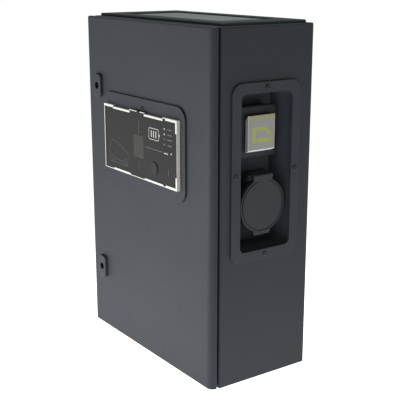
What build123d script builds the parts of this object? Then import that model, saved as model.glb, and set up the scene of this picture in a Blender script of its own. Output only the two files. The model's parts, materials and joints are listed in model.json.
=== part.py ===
from build123d import *
import os

# Charging wallbox. Millimetres. X runs to the right seen from the front, Y into the wall, Z up.
# The origin is the centre of the four wall holes, on the back face.

# Enclosure, overall
width = 400.0
height = 600.0
depth = 204.0
body_sheet = 1.5
fold_radius = 3.0
wall_hole_radius = 4.5
wall_hole_spacing_x = 350.0
wall_hole_spacing_z = 550.0

# Door tray and the gutter lip that it closes on
door_sheet = 2.0
door_depth = 12.5
door_gap = 5.0
door_edge_radius = 12.0
door_rim_radius = 3.0
door_foot_clearance = 1.0
lip_inset = 22.0
lip_depth = 10.0
lip_corner = 14.0
seal_width = 8.0
seal_clearance = 0.3

# Door hinges
hinge_inset = 8.5
hinge_setback = 6.5
hinge_height = 210.0
knuckle_radius = 3.2
knuckle_length = 30.0
hinge_pin_radius = 1.7
hinge_clearance = 0.15
bracket_sheet = 3.0
bracket_length = 60.0
lug_height = 8.0
lug_side = 9.0

# Quarter-turn locks
lock_inset = 46.0
lock_height = 176.0
lock_width = 30.0
lock_tall = 41.0
lock_proud = 8.0
lock_neck_radius = 9.6
lock_nut_radius = 13.0
lock_nut_thickness = 6.0
barrel_radius = 6.5
keyhole_radius = 4.8
cam_length = 38.0
cam_width = 14.0
cam_thickness = 3.0
cam_gap = 1.0

# Roof frame and entry plate
roof_margin_side = 8.0
roof_margin_front = 8.5
roof_margin_back = 6.0
roof_thickness = 4.8
roof_corner = 6.0
entry_width = 286.0
entry_depth = 112.0
entry_thickness = 2.0
entry_overlap = 12.0
gasket_thickness = 0.8
entry_screw_radius = 1.6

# Mounting plate
plate_width = 322.0
plate_height = 520.0
plate_thickness = 2.5
plate_standoff = 10.5
plate_edge = 15.0
stud_radius = 4.0
stud_length = 26.0
stud_shoulder = 7.0
nut_radius = 7.2
nut_thickness = 6.5

# Control panel on the door
hmi_x = -1.5
hmi_z = 89.0
hmi_plate_width = 266.0
hmi_plate_height = 161.5
hmi_plate_thickness = 2.8
hmi_plate_corner = 24.0
hmi_width = 238.0
hmi_height = 117.5
hmi_proud = 6.4
hmi_border = 4.5
hmi_ledge = 3.5
hmi_corner = 3.0
panel_thickness = 3.0
panel_inset = 1.0
clip_length = 55.0
clip_offset = 52.0
clip_depth = 1.6
rear_depth = 36.0
rear_wall = 2.5
rear_inset = 4.0
board_thickness = 1.6
board_margin = 6.0
board_setback = 6.0
button_x = 47.5
button_z = -33.0
button_radius = 11.5
button_proud = 1.6
button_travel = 1.5
light_x = 80.5
light_rows = (40.0, 31.0, 23.0, 13.5)
light_radius = 1.7
hmi_screw_radius = 3.3
hmi_screw_x = 3.5
hmi_screw_rise = 5.5

# Side pocket
pocket_y = -96.0
pocket_z = 63.5
pocket_width = 105.0
pocket_height = 261.0
pocket_corner = 10.0
pocket_depth = 58.0
pocket_wall = 2.5
pocket_flange = 18.0
pocket_flange_thickness = 2.7
pocket_flange_corner = 20.0
pocket_fit = 0.6
screw_edge = 9.0
screw_radius = 2.0
screw_head_radius = 4.2
screw_head = 1.8
screw_length = 12.0

# Card reader in the pocket
reader_y = -96.5
reader_z = 127.5
reader_width = 77.0
reader_height = 86.0
reader_frame_thickness = 8.0
reader_box_depth = 25.0
reader_box_inset = 3.0
insert_width = 53.0
insert_height = 56.0
insert_proud = 8.0
insert_fit = 0.4
insert_flange = 3.0
reader_wall = 2.0

# Charging socket in the pocket
socket_z = 4.0
socket_flange_width = 96.0
socket_flange_height = 100.0
socket_flange_thickness = 4.5
socket_flange_corner = 8.0
collar_radius = 39.0
collar_length = 38.0
sleeve_radius = 33.0
sleeve_length = 50.0
well_radius = 30.0
carrier_radius = 25.0
carrier_flat = 20.0
carrier_recess = 11.0
carrier_seat = 26.0
contact_depth = 34.0
power_pin_radius = 3.0
signal_pin_radius = 1.5
contact_wall = 0.6
contact_tail = 8.0

# Socket lid
lid_radius = 44.0
lid_thickness = 7.0
lid_gap = 1.0
lid_rim = 3.0
lid_rim_height = 2.0
lid_groove = 2.4
lid_tab_width = 33.0
lid_tab_drop = 4.0
lid_pin_rise = 49.0
lid_pin_radius = 2.0
lid_knuckle_radius = 5.0
lid_knuckle_width = 40.0
lid_spring_gap = 13.0
spring_wire = 0.6
ear_thickness = 5.0
ear_gap = 0.5
pin_fit = 0.12

# Plug lock behind the pocket
actuator_length = 30.0
actuator_width = 32.0
actuator_rise = 30.0
locking_pin_radius = 2.5

# Devices on rails
rail_height = 35.0
rail_depth = 7.5
rail_sheet = 1.0
rail_left = -150.0
rail_right = 76.0
rail_upper_z = 150.0
rail_lower_z = -40.0
rail_terminal_z = -205.0
module = 18.0
device_height = 86.0
device_depth = 46.0
nose_height = 45.0
nose_depth = 15.0
device_gap = 1.5
slot_height = 28.0
slot_depth = 11.0
toggle_radius = 4.6
toggle_reach = 17.0
toggle_thickness = 4.0
toggle_angle = 35.0
side_play = 0.3
test_button_size = 7.0
test_button_travel = 1.5
terminal_pitch = 8.2
terminal_count = 14
duct_width = 30.0
duct_depth = 45.0
duct_wall = 1.6
duct_slot = 8.0
duct_pitch = 18.0
duct_upper_z = 55.0
duct_lower_z = -128.0
earth_x = -120.0
earth_y = -60.0

# Planes that several pieces share
left = -width / 2
right = width / 2
top = height / 2
bottom = -height / 2
front = -depth
door_back = front + door_depth
door_inner = front + door_sheet
body_front = door_back + door_gap
flange_inner = body_front + body_sheet
lip_front = body_front - lip_depth
lip_x = right - lip_inset
lip_z = top - lip_inset
hinge_x = right - hinge_inset
hinge_y = front + hinge_setback
lock_x = left + lock_inset
plate_back = -body_sheet - plate_standoff
plate_front = plate_back - plate_thickness
rail_front = plate_front - rail_depth
hmi_plate_front = front - gasket_thickness - hmi_plate_thickness
hmi_front = hmi_plate_front - hmi_proud
panel_front = hmi_front + panel_inset
panel_back = panel_front + panel_thickness
board_front = panel_back + board_setback
pocket_face = right + gasket_thickness
pocket_mouth = pocket_face + pocket_flange_thickness
pocket_floor = pocket_mouth - pocket_depth
pocket_outer = pocket_floor - pocket_wall
socket_face = pocket_floor + gasket_thickness
collar_front = socket_face + collar_length
sleeve_back = pocket_outer - sleeve_length
carrier_front = collar_front - carrier_recess
lid_back = collar_front + lid_gap
lid_front = lid_back + lid_thickness
lid_pin_x = lid_back
lid_pin_z = socket_z + lid_pin_rise
hinge_rows = (hinge_height, -hinge_height)
lock_rows = {"upper": lock_height, "lower": -lock_height}


def span(middle, size):
    return (middle - size / 2, middle + size / 2)


def block(x, y, z):
    """Box between three pairs of limits."""
    box = Box(x[1] - x[0], y[1] - y[0], z[1] - z[0])
    return Pos((x[0] + x[1]) / 2, (y[0] + y[1]) / 2, (z[0] + z[1]) / 2) * box


def rod(axis, radius, limits, at):
    """Round bar along one axis, through a point given by the other two coordinates."""
    bar = Cylinder(radius, limits[1] - limits[0])
    middle = (limits[0] + limits[1]) / 2
    if axis == "x":
        return Pos(middle, at[0], at[1]) * Rot(0, 90, 0) * bar
    if axis == "y":
        return Pos(at[0], middle, at[1]) * Rot(90, 0, 0) * bar
    return Pos(at[0], at[1], middle) * bar


def front_slab(x, z, radius, y):
    """Slab that faces the front, with rounded corners."""
    outline = Pos((x[0] + x[1]) / 2, (z[0] + z[1]) / 2) * RectangleRounded(x[1] - x[0], z[1] - z[0], radius)
    return extrude(Plane.XZ.offset(-y[1]) * outline, y[1] - y[0])


def side_slab(y, z, radius, x):
    """Slab that faces the right-hand side, with rounded corners."""
    outline = Pos((y[0] + y[1]) / 2, (z[0] + z[1]) / 2) * RectangleRounded(y[1] - y[0], z[1] - z[0], radius)
    return extrude(Plane.YZ.offset(x[0]) * outline, x[1] - x[0])


def top_slab(x, y, radius, z):
    """Slab that lies flat, with rounded corners."""
    outline = Pos((x[0] + x[1]) / 2, (y[0] + y[1]) / 2) * RectangleRounded(x[1] - x[0], y[1] - y[0], radius)
    return extrude(Plane.XY.offset(z[0]) * outline, z[1] - z[0])


def along_x(points, x):
    """Prism along X from a side view given as Y, Z points."""
    outline = make_face(Polyline(*points, close=True))
    return extrude(Plane.YZ.offset(x[0]) * outline, x[1] - x[0])


def group(solids):
    return Compound(children=list(solids))


# Places of the fasteners, shared by the holes and the screws
wall_holes = [(sx * wall_hole_spacing_x / 2, sz * wall_hole_spacing_z / 2) for sx in (-1, 1) for sz in (-1, 1)]
plate_fixings = [
    (sx * (plate_width / 2 - plate_edge), sz * (plate_height / 2 - plate_edge)) for sx in (-1, 1) for sz in (-1, 1)
]
flange_width = pocket_width + 2 * pocket_flange
flange_height = pocket_height + 2 * pocket_flange
pocket_fixings = [
    (pocket_y, pocket_z + flange_height / 2 - screw_edge),
    (pocket_y, pocket_z - flange_height / 2 + screw_edge),
    (pocket_y - flange_width / 2 + screw_edge, pocket_z),
    (pocket_y + flange_width / 2 - screw_edge, pocket_z),
]
socket_fixings = [
    (pocket_y + sy * (socket_flange_width / 2 - screw_edge), socket_z + sz * (socket_flange_height / 2 - screw_edge))
    for sy in (-1, 1)
    for sz in (-1, 1)
]
roof_y = (body_front + roof_margin_front, -roof_margin_back)
entry_y = (roof_y[0] + roof_y[1]) / 2
entry_plate_x = span(0, entry_width + 2 * entry_overlap)
entry_plate_y = span(entry_y, entry_depth + 2 * entry_overlap)
entry_fixings = [
    (sx * (entry_width + entry_overlap) / 2, entry_y + sy * (entry_depth + entry_overlap) / 2)
    for sx in (-1, 0, 1)
    for sy in (-1, 1)
]


def make_enclosure_body():
    """Folded shell: five walls, a flange round the front and the gutter lip."""
    shell = block((left, right), (body_front, 0), (bottom, top))
    folds = shell.edges().filter_by(Axis.Y) + shell.faces().sort_by(Axis.Y)[0].edges()
    shell = fillet(folds, fold_radius)
    shell -= block(
        (left + body_sheet, right - body_sheet), (flange_inner, -body_sheet), (bottom + body_sheet, top - body_sheet)
    )
    shell += front_slab((-lip_x, lip_x), (-lip_z, lip_z), lip_corner, (lip_front, flange_inner))
    mouth_x = lip_x - body_sheet
    mouth_z = lip_z - body_sheet
    mouth_y = (lip_front - body_sheet, flange_inner + body_sheet)
    shell -= front_slab((-mouth_x, mouth_x), (-mouth_z, mouth_z), lip_corner - body_sheet, mouth_y)
    roof_cut = (top - 2 * body_sheet, top + body_sheet)
    shell -= top_slab(span(0, entry_width), span(entry_y, entry_depth), roof_corner, roof_cut)
    tub_y = span(pocket_y, pocket_width + 2 * (pocket_wall + pocket_fit))
    tub_z = span(pocket_z, pocket_height + 2 * (pocket_wall + pocket_fit))
    side_cut = (right - 2 * body_sheet, right + body_sheet)
    shell -= side_slab(tub_y, tub_z, pocket_corner + pocket_wall, side_cut)
    for x, z in wall_holes:
        shell -= rod("y", wall_hole_radius, (-2 * body_sheet, body_sheet), (x, z))
    for y, z in pocket_fixings:
        shell -= rod("x", screw_radius + pin_fit, side_cut, (y, z))
    for x, y in entry_fixings:
        shell -= rod("z", entry_screw_radius + pin_fit, roof_cut, (x, y))
    return shell


def make_roof_frame():
    """Raised frame on the roof, with a window and a rebate that traps the entry plate."""
    frame = top_slab((left + roof_margin_side, right - roof_margin_side), roof_y, roof_corner, (top, top + roof_thickness))
    frame = chamfer(frame.faces().sort_by(Axis.Z)[-1].edges(), roof_thickness / 4)
    frame -= top_slab(span(0, entry_width), span(entry_y, entry_depth), roof_corner, (top - 1, top + roof_thickness + 1))
    rebate = (top - 1, top + gasket_thickness + entry_thickness)
    fit_x = (entry_plate_x[0] - insert_fit, entry_plate_x[1] + insert_fit)
    fit_y = (entry_plate_y[0] - insert_fit, entry_plate_y[1] + insert_fit)
    return frame - top_slab(fit_x, fit_y, roof_corner, rebate)


def make_entry_plate():
    base = top + gasket_thickness
    plate = top_slab(entry_plate_x, entry_plate_y, roof_corner, (base, base + entry_thickness))
    for x, y in entry_fixings:
        plate -= rod("z", entry_screw_radius + pin_fit, (base - 1, base + entry_thickness / 2), (x, y))
    return plate


def make_entry_gasket():
    gasket = top_slab(entry_plate_x, entry_plate_y, roof_corner, (top, top + gasket_thickness))
    gasket -= top_slab(span(0, entry_width), span(entry_y, entry_depth), roof_corner, (top - 1, top + 1))
    for x, y in entry_fixings:
        gasket -= rod("z", entry_screw_radius + pin_fit, (top - 1, top + 1), (x, y))
    return gasket


def make_entry_screws():
    inside = top - body_sheet
    tip = top + gasket_thickness + entry_thickness / 2
    screws = []
    for x, y in entry_fixings:
        shank = rod("z", entry_screw_radius, (inside - screw_head / 2, tip), (x, y))
        screws.append(shank + rod("z", 2 * entry_screw_radius, (inside - screw_head, inside), (x, y)))
    return group(screws)


def make_mounting_plate():
    plate = front_slab(span(0, plate_width), span(0, plate_height), fold_radius, (plate_front, plate_back))
    for x, z in plate_fixings:
        plate -= rod("y", stud_radius + pin_fit, (plate_front - 1, plate_back + 1), (x, z))
    return plate


def make_plate_studs():
    studs = []
    for x, z in plate_fixings:
        stud = rod("y", stud_radius, (-body_sheet - stud_length, -body_sheet), (x, z))
        studs.append(stud + rod("y", stud_shoulder, (plate_back, -body_sheet), (x, z)))
    return group(studs)


def make_hex_nut(x, z, y_back):
    hexagon = Pos(x, z) * RegularPolygon(nut_radius, 6)
    nut = extrude(Plane.XZ.offset(-y_back) * hexagon, nut_thickness)
    return nut - rod("y", stud_radius + pin_fit, (y_back - nut_thickness - 1, y_back + 1), (x, z))


def make_plate_nuts():
    return group(make_hex_nut(x, z, plate_front) for x, z in plate_fixings)


def make_earth_stud():
    """Stud welded to the floor of the enclosure, with its washer and nut."""
    floor = bottom + body_sheet
    at = (earth_x, earth_y)
    stud = rod("z", stud_radius, (floor, floor + stud_length), at)
    foot = rod("z", stud_shoulder, (floor, floor + body_sheet), at)
    hexagon = Plane.XY.offset(floor + body_sheet) * Pos(earth_x, earth_y) * RegularPolygon(nut_radius, 6)
    nut = extrude(hexagon, nut_thickness) - rod("z", stud_radius + pin_fit, (floor, floor + stud_length), at)
    return group([stud + foot, nut])


def make_hinge_brackets():
    """Brackets on the outer face of the gutter lip: a leg, an arm and a knuckle."""
    brackets = []
    for z in hinge_rows:
        leg = block((lip_x, lip_x + bracket_sheet), (hinge_y, body_front), span(z, bracket_length))
        arm_y = (hinge_y - 0.7 * knuckle_radius, hinge_y + 0.6 * knuckle_radius)
        arm = block((lip_x, hinge_x), arm_y, span(z, knuckle_length))
        bracket = leg + arm + rod("z", knuckle_radius, span(z, knuckle_length), (hinge_x, hinge_y))
        hole = rod("z", hinge_pin_radius + hinge_clearance, span(z, bracket_length), (hinge_x, hinge_y))
        brackets.append(bracket - hole)
    return group(brackets)


def make_door_block(inset, y):
    """Door outline in plan, with its rounded long edges, at an inset from the outside."""
    slab = block((left + inset, right - inset), y, (bottom + door_foot_clearance + inset, top - inset))
    long_edges = slab.edges().filter_by(Axis.Z).group_by(Axis.Y)[0]
    return fillet(long_edges, door_edge_radius - inset)


def make_door_cavity():
    return make_door_block(door_sheet, (door_inner, door_back + door_gap))


def hmi_window(y):
    x = span(hmi_x, hmi_width - 2 * rear_inset + 2 * insert_fit)
    z = span(hmi_z, hmi_height - 2 * rear_inset + 2 * insert_fit)
    return front_slab(x, z, hmi_corner, y)


def make_door():
    door = make_door_block(0, (front, door_back))
    rim = door.edges().filter_by(Plane.XY).group_by(Axis.Z)
    rims = [edge for level in (rim[0], rim[-1]) for edge in level if edge.center().Y < door_back - door_sheet / 4]
    door = fillet(rims, door_rim_radius)
    door -= make_door_cavity()
    through = (front - 1, door_inner + 1)
    door -= hmi_window(through)
    for z in lock_rows.values():
        door -= rod("y", lock_neck_radius + pin_fit, through, (lock_x, z))
    screw_at = (hmi_x + hmi_screw_x, hmi_z + hmi_height / 2 + hmi_screw_rise)
    return door - rod("y", screw_radius + pin_fit, through, screw_at)


def make_door_gasket():
    outer_x = lip_x - seal_clearance
    outer_z = lip_z - seal_clearance
    y = (door_inner, lip_front - seal_clearance)
    ring = front_slab((-outer_x, outer_x), (-outer_z, outer_z), lip_corner, y)
    inner_x = outer_x - seal_width
    inner_z = outer_z - seal_width
    return ring - front_slab((-inner_x, inner_x), (-inner_z, inner_z), lip_corner - seal_width / 2, (y[0] - 1, y[1] + 1))


def lug_spans():
    """Heights of the lugs that stand above and below each knuckle."""
    offset = knuckle_length / 2 + side_play
    return [
        (z + offset, z + offset + lug_height) if side > 0 else (z - offset - lug_height, z - offset)
        for z in hinge_rows
        for side in (1, -1)
    ]


def make_hinge_lugs():
    cavity = make_door_cavity()
    lugs = []
    for z in lug_spans():
        lug = block((hinge_x - lug_side, hinge_x + lug_side / 2), (door_inner, hinge_y + knuckle_radius), z)
        lug -= rod("z", hinge_pin_radius + pin_fit / 2, (z[0] - 1, z[1] + 1), (hinge_x, hinge_y))
        lugs.append(lug & cavity)
    return group(lugs)


def make_hinge_pins():
    reach = knuckle_length / 2 + side_play + lug_height
    return group(rod("z", hinge_pin_radius, (z - reach, z + reach), (hinge_x, hinge_y)) for z in hinge_rows)


def make_hmi_gasket():
    x = span(hmi_x, hmi_plate_width)
    z = span(hmi_z, hmi_plate_height)
    gasket = front_slab(x, z, hmi_plate_corner, (front - gasket_thickness, front))
    screw_at = (hmi_x + hmi_screw_x, hmi_z + hmi_height / 2 + hmi_screw_rise)
    gasket -= rod("y", screw_radius + pin_fit, (front - 1, front + 1), screw_at)
    return gasket - hmi_window((front - 1, front + 1))


def make_hmi_plate():
    """Raised plate with softened edges round the control panel."""
    x = span(hmi_x, hmi_plate_width)
    z = span(hmi_z, hmi_plate_height)
    plate = front_slab(x, z, hmi_plate_corner, (hmi_plate_front, front - gasket_thickness))
    plate = fillet(plate.faces().sort_by(Axis.Y)[0].edges(), hmi_plate_thickness / 3)
    through = (hmi_plate_front - 1, front)
    screw_at = (hmi_x + hmi_screw_x, hmi_z + hmi_height / 2 + hmi_screw_rise)
    plate -= rod("y", screw_radius + pin_fit, through, screw_at)
    return plate - hmi_window(through)


def make_hmi_screw():
    at = (hmi_x + hmi_screw_x, hmi_z + hmi_height / 2 + hmi_screw_rise)
    head = rod("y", hmi_screw_radius, (hmi_plate_front - screw_head, hmi_plate_front), at)
    head = fillet(head.edges().group_by(Axis.Y)[0], screw_head / 2)
    socket = Pos(at[0], at[1]) * RegularPolygon(hmi_screw_radius / 2, 6)
    head -= extrude(Plane.XZ.offset(screw_head / 3 - hmi_plate_front) * socket, screw_head)
    return head + rod("y", screw_radius, (hmi_plate_front, door_inner + screw_radius), at)


def make_hmi_frame():
    """Pale moulded frame with a ledge for the panel and clip recesses along its long sides."""
    frame = front_slab(span(hmi_x, hmi_width), span(hmi_z, hmi_height), hmi_corner, (hmi_front, hmi_plate_front))
    seat_x = span(hmi_x, hmi_width - 2 * hmi_border)
    seat_z = span(hmi_z, hmi_height - 2 * hmi_border)
    frame -= front_slab(seat_x, seat_z, hmi_corner / 2, (hmi_front - 1, panel_back))
    hole_x = span(hmi_x, hmi_width - 2 * (hmi_border + hmi_ledge))
    hole_z = span(hmi_z, hmi_height - 2 * (hmi_border + hmi_ledge))
    frame -= front_slab(hole_x, hole_z, hmi_corner / 2, (hmi_front - 1, hmi_plate_front + 1))
    for side in (-1, 1):
        for edge in (-1, 1):
            x = span(hmi_x + side * clip_offset, clip_length)
            edge_z = hmi_z + edge * hmi_height / 2
            frame -= block(x, (hmi_front - 1, hmi_front + clip_depth), span(edge_z, 2 * clip_depth))
    return frame


def make_hmi_panel():
    x = span(hmi_x, hmi_width - 2 * hmi_border - 2 * pin_fit)
    z = span(hmi_z, hmi_height - 2 * hmi_border - 2 * pin_fit)
    panel = front_slab(x, z, hmi_corner / 2, (panel_front, panel_back))
    through = (panel_front - 1, panel_back + 1)
    panel -= rod("y", button_radius + side_play, through, (hmi_x + button_x, hmi_z + button_z))
    for row in light_rows:
        panel -= rod("y", light_radius + pin_fit / 2, through, (hmi_x + light_x, hmi_z + row))
    return panel


def make_light_pipes():
    y = (panel_front, board_front)
    return group(rod("y", light_radius, y, (hmi_x + light_x, hmi_z + row)) for row in light_rows)


def make_hmi_button():
    """Domed push button, held behind the panel by a collar."""
    at = (hmi_x + button_x, hmi_z + button_z)
    cap = rod("y", button_radius, (panel_front - button_proud, panel_back + 1), at)
    cap = fillet(cap.edges().group_by(Axis.Y)[0], button_proud / 2)
    collar = rod("y", button_radius + 1.5, (panel_back, panel_back + 1.5), at)
    stem_end = board_front - button_travel - side_play
    return cap + collar + rod("y", button_radius / 3, (panel_back, stem_end), at)


def make_hmi_rear_cover():
    """Rear housing with four posts that carry the circuit board."""
    x = span(hmi_x, hmi_width - 2 * rear_inset)
    z = span(hmi_z, hmi_height - 2 * rear_inset)
    back = door_inner + rear_depth
    cover = front_slab(x, z, hmi_corner, (hmi_plate_front, back))
    cover -= front_slab(
        (x[0] + rear_wall, x[1] - rear_wall),
        (z[0] + rear_wall, z[1] - rear_wall),
        hmi_corner / 2,
        (hmi_plate_front - 1, back - rear_wall),
    )
    post_x = hmi_width / 2 - rear_inset - rear_wall - 2 * board_margin
    post_z = hmi_height / 2 - rear_inset - rear_wall - 2 * board_margin
    for sx in (-1, 1):
        for sz in (-1, 1):
            at = (hmi_x + sx * post_x, hmi_z + sz * post_z)
            cover += rod("y", board_margin / 2, (board_front + board_thickness, back - rear_wall / 2), at)
    return cover


def make_hmi_board():
    margin = rear_inset + rear_wall + board_margin / 2
    x = span(hmi_x, hmi_width - 2 * margin)
    z = span(hmi_z, hmi_height - 2 * margin)
    return front_slab(x, z, hmi_corner, (board_front, board_front + board_thickness))


lock_neck_end = flange_inner + cam_gap
lock_front = front - lock_proud
barrel_front = lock_front + 2.0
cam_y = (lock_neck_end + side_play, lock_neck_end + side_play + cam_thickness)


def make_lock_housing(z):
    """Oval escutcheon with a crowned face and a threaded neck through the door."""
    oval = Pos(lock_x, z) * Rot(0, 0, 90) * SlotOverall(lock_tall, lock_width)
    housing = extrude(Plane.XZ.offset(-front) * oval, lock_proud)
    housing = fillet(housing.faces().sort_by(Axis.Y)[0].edges(), lock_proud / 2.5)
    housing += rod("y", lock_neck_radius, (front, lock_neck_end), (lock_x, z))
    return housing - rod("y", barrel_radius + pin_fit, (lock_front - 1, lock_neck_end + 1), (lock_x, z))


def make_lock_nuts():
    nuts = []
    y = (door_inner, door_inner + lock_nut_thickness)
    for z in lock_rows.values():
        hexagon = Pos(lock_x, z) * RegularPolygon(lock_nut_radius, 6)
        nut = extrude(Plane.XZ.offset(-y[1]) * hexagon, lock_nut_thickness)
        nuts.append(nut - rod("y", lock_neck_radius + pin_fit, (y[0] - 1, y[1] + 1), (lock_x, z)))
    return group(nuts)


def make_lock_barrel(z):
    """Barrel with a round key recess and a two-winged pin in it."""
    barrel = rod("y", barrel_radius, (barrel_front, cam_y[0]), (lock_x, z))
    recess = (barrel_front - 1, barrel_front + 2 * lock_proud)
    barrel -= rod("y", keyhole_radius, recess, (lock_x, z))
    barrel += rod("y", keyhole_radius / 2.4, (barrel_front + 1, recess[1]), (lock_x, z))
    wing = block(span(lock_x, 2 * keyhole_radius), (barrel_front + 3, recess[1]), span(z, keyhole_radius / 2))
    barrel += wing
    square = block(span(lock_x, barrel_radius), (cam_y[0] - 1, cam_y[1] + cam_thickness), span(z, barrel_radius))
    return barrel + square


def make_lock_cam(z):
    """Flat cam that hangs down when open and reaches behind the flange when turned."""
    blade = Pos(lock_x, z - cam_length / 2 + cam_width / 4) * Rot(0, 0, 90) * SlotOverall(
        cam_length + cam_width / 2, cam_width
    )
    cam = extrude(Plane.XZ.offset(-cam_y[1]) * blade, cam_thickness)
    hole_side = barrel_radius + 2 * pin_fit
    return cam - block(span(lock_x, hole_side), (cam_y[0] - 1, cam_y[1] + 1), span(z, hole_side))


def make_pocket_tub():
    """Moulded pocket with a flange that lies on the side wall."""
    y = span(pocket_y, pocket_width)
    z = span(pocket_z, pocket_height)
    flange_y = span(pocket_y, flange_width)
    flange_z = span(pocket_z, flange_height)
    flange = side_slab(flange_y, flange_z, pocket_flange_corner, (pocket_face, pocket_mouth))
    flange = fillet(flange.faces().sort_by(Axis.X)[-1].edges(), pocket_flange_thickness / 3)
    tub_y = (y[0] - pocket_wall, y[1] + pocket_wall)
    tub_z = (z[0] - pocket_wall, z[1] + pocket_wall)
    tub = flange + side_slab(tub_y, tub_z, pocket_corner + pocket_wall, (pocket_outer, pocket_face))
    tub -= side_slab(y, z, pocket_corner, (pocket_floor, pocket_mouth + 1))
    floor = (pocket_outer - 1, pocket_floor + 1)
    tub -= rod("x", sleeve_radius + pocket_fit, floor, (pocket_y, socket_z))
    tub -= rod("x", reader_height / 8, floor, (reader_y, reader_z))
    for at in pocket_fixings:
        tub -= rod("x", screw_radius + pin_fit, (pocket_face - 1, pocket_mouth + 1), at)
    for at in socket_fixings:
        tub -= rod("x", screw_radius + pin_fit, floor, at)
    return tub


def make_pocket_gasket():
    flange_y = span(pocket_y, flange_width)
    flange_z = span(pocket_z, flange_height)
    gasket = side_slab(flange_y, flange_z, pocket_flange_corner, (right, pocket_face))
    tub_y = span(pocket_y, pocket_width + 2 * (pocket_wall + pocket_fit))
    tub_z = span(pocket_z, pocket_height + 2 * (pocket_wall + pocket_fit))
    gasket -= side_slab(tub_y, tub_z, pocket_corner + pocket_wall, (right - 1, pocket_face + 1))
    for at in pocket_fixings:
        gasket -= rod("x", screw_radius + pin_fit, (right - 1, pocket_face + 1), at)
    return gasket


def make_side_screw(seat, at):
    """Pan-head screw driven in from the side, with a hexagon recess."""
    head = rod("x", screw_head_radius, (seat, seat + screw_head), at)
    head = fillet(head.edges().group_by(Axis.X)[-1], screw_head / 2)
    hexagon = Pos(at[0], at[1]) * RegularPolygon(screw_head_radius / 2, 6)
    head -= extrude(Plane.YZ.offset(seat + screw_head / 3) * hexagon, screw_head)
    return head + rod("x", screw_radius, (seat - screw_length, seat), at)


def make_pocket_screws():
    return group(make_side_screw(pocket_mouth, at) for at in pocket_fixings)


def make_socket_screws():
    return group(make_side_screw(socket_face + socket_flange_thickness, at) for at in socket_fixings)


reader_front = pocket_floor + reader_box_depth
reader_face = reader_front + reader_frame_thickness


def make_reader_box():
    y = span(reader_y, reader_width - 2 * reader_box_inset)
    z = span(reader_z, reader_height - 2 * reader_box_inset)
    box = side_slab(y, z, reader_box_inset, (pocket_floor, reader_front))
    inner_y = (y[0] + reader_wall, y[1] - reader_wall)
    inner_z = (z[0] + reader_wall, z[1] - reader_wall)
    return box - side_slab(inner_y, inner_z, reader_box_inset / 2, (pocket_floor + reader_wall, reader_front + 1))


def make_reader_frame():
    """Cover frame with a bevelled edge."""
    frame = side_slab(span(reader_y, reader_width), span(reader_z, reader_height), reader_box_inset, (reader_front, reader_face))
    frame = chamfer(frame.faces().sort_by(Axis.X)[-1].edges(), reader_frame_thickness / 4)
    hole_y = span(reader_y, insert_width + 2 * insert_fit)
    hole_z = span(reader_z, insert_height + 2 * insert_fit)
    return frame - side_slab(hole_y, hole_z, insert_fit, (reader_front - 1, reader_face + 1))


def make_reader_insert():
    """Square reading face: a cap that stands out of the frame, with a flange behind it."""
    y = span(reader_y, insert_width)
    z = span(reader_z, insert_height)
    face = reader_face + insert_proud
    cap = side_slab(y, z, reader_wall, (reader_front, face))
    cap = fillet(cap.faces().sort_by(Axis.X)[-1].edges(), reader_wall / 2)
    flange_y = (y[0] - insert_flange, y[1] + insert_flange)
    flange_z = (z[0] - insert_flange, z[1] + insert_flange)
    cap += side_slab(flange_y, flange_z, reader_wall, (reader_front - reader_wall, reader_front))
    hollow_y = (y[0] + reader_wall, y[1] - reader_wall)
    hollow_z = (z[0] + reader_wall, z[1] - reader_wall)
    return cap - side_slab(hollow_y, hollow_z, reader_wall / 2, (reader_front - reader_wall - 1, face - reader_wall))


ear_inner = lid_knuckle_width / 2 + ear_gap
ear_outer = ear_inner + ear_thickness


def make_socket_housing():
    """Flange, collar and rear sleeve in one moulding, with the two lid ears."""
    at = (pocket_y, socket_z)
    flange_y = span(pocket_y, socket_flange_width)
    flange_z = span(socket_z, socket_flange_height)
    flange_x = (socket_face, socket_face + socket_flange_thickness)
    housing = side_slab(flange_y, flange_z, socket_flange_corner, flange_x)
    housing += rod("x", collar_radius, (socket_face, collar_front), at)
    housing += rod("x", sleeve_radius, (sleeve_back, socket_face), at)
    for side in (-1, 1):
        ear_y = sorted((pocket_y + side * ear_inner, pocket_y + side * ear_outer))
        ear_x = (lid_pin_x - 2 * lid_knuckle_radius, collar_front)
        ear = block(ear_x, ear_y, (socket_z + collar_radius / 2, lid_pin_z))
        ear += rod("y", lid_knuckle_radius, ear_y, (lid_pin_x, lid_pin_z))
        housing += ear
    housing -= rod("x", well_radius, (sleeve_back - 1, collar_front + 2 * lid_knuckle_radius), at)
    housing -= rod("y", lid_pin_radius + pin_fit, span(pocket_y, 4 * ear_outer), (lid_pin_x, lid_pin_z))
    for screw_at in socket_fixings:
        housing -= rod("x", screw_radius + pin_fit, (flange_x[0] - 1, flange_x[1] + 1), screw_at)
    pin_z = (socket_z + carrier_radius, socket_z + 2 * sleeve_radius)
    return housing - rod("z", locking_pin_radius + side_play, pin_z, (locking_pin_x, pocket_y))


actuator_x = (pocket_outer - 1 - actuator_length, pocket_outer - 1)
locking_pin_x = actuator_x[1] - actuator_length / 4
carrier_step = locking_pin_x - 2 * locking_pin_radius
contacts = [
    (0.0, 0.0, power_pin_radius),
    (-16.0, 0.0, power_pin_radius),
    (16.0, 0.0, power_pin_radius),
    (-8.5, -14.5, power_pin_radius),
    (8.5, -14.5, power_pin_radius),
    (-8.5, 12.5, signal_pin_radius),
    (8.5, 12.5, signal_pin_radius),
]


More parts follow.
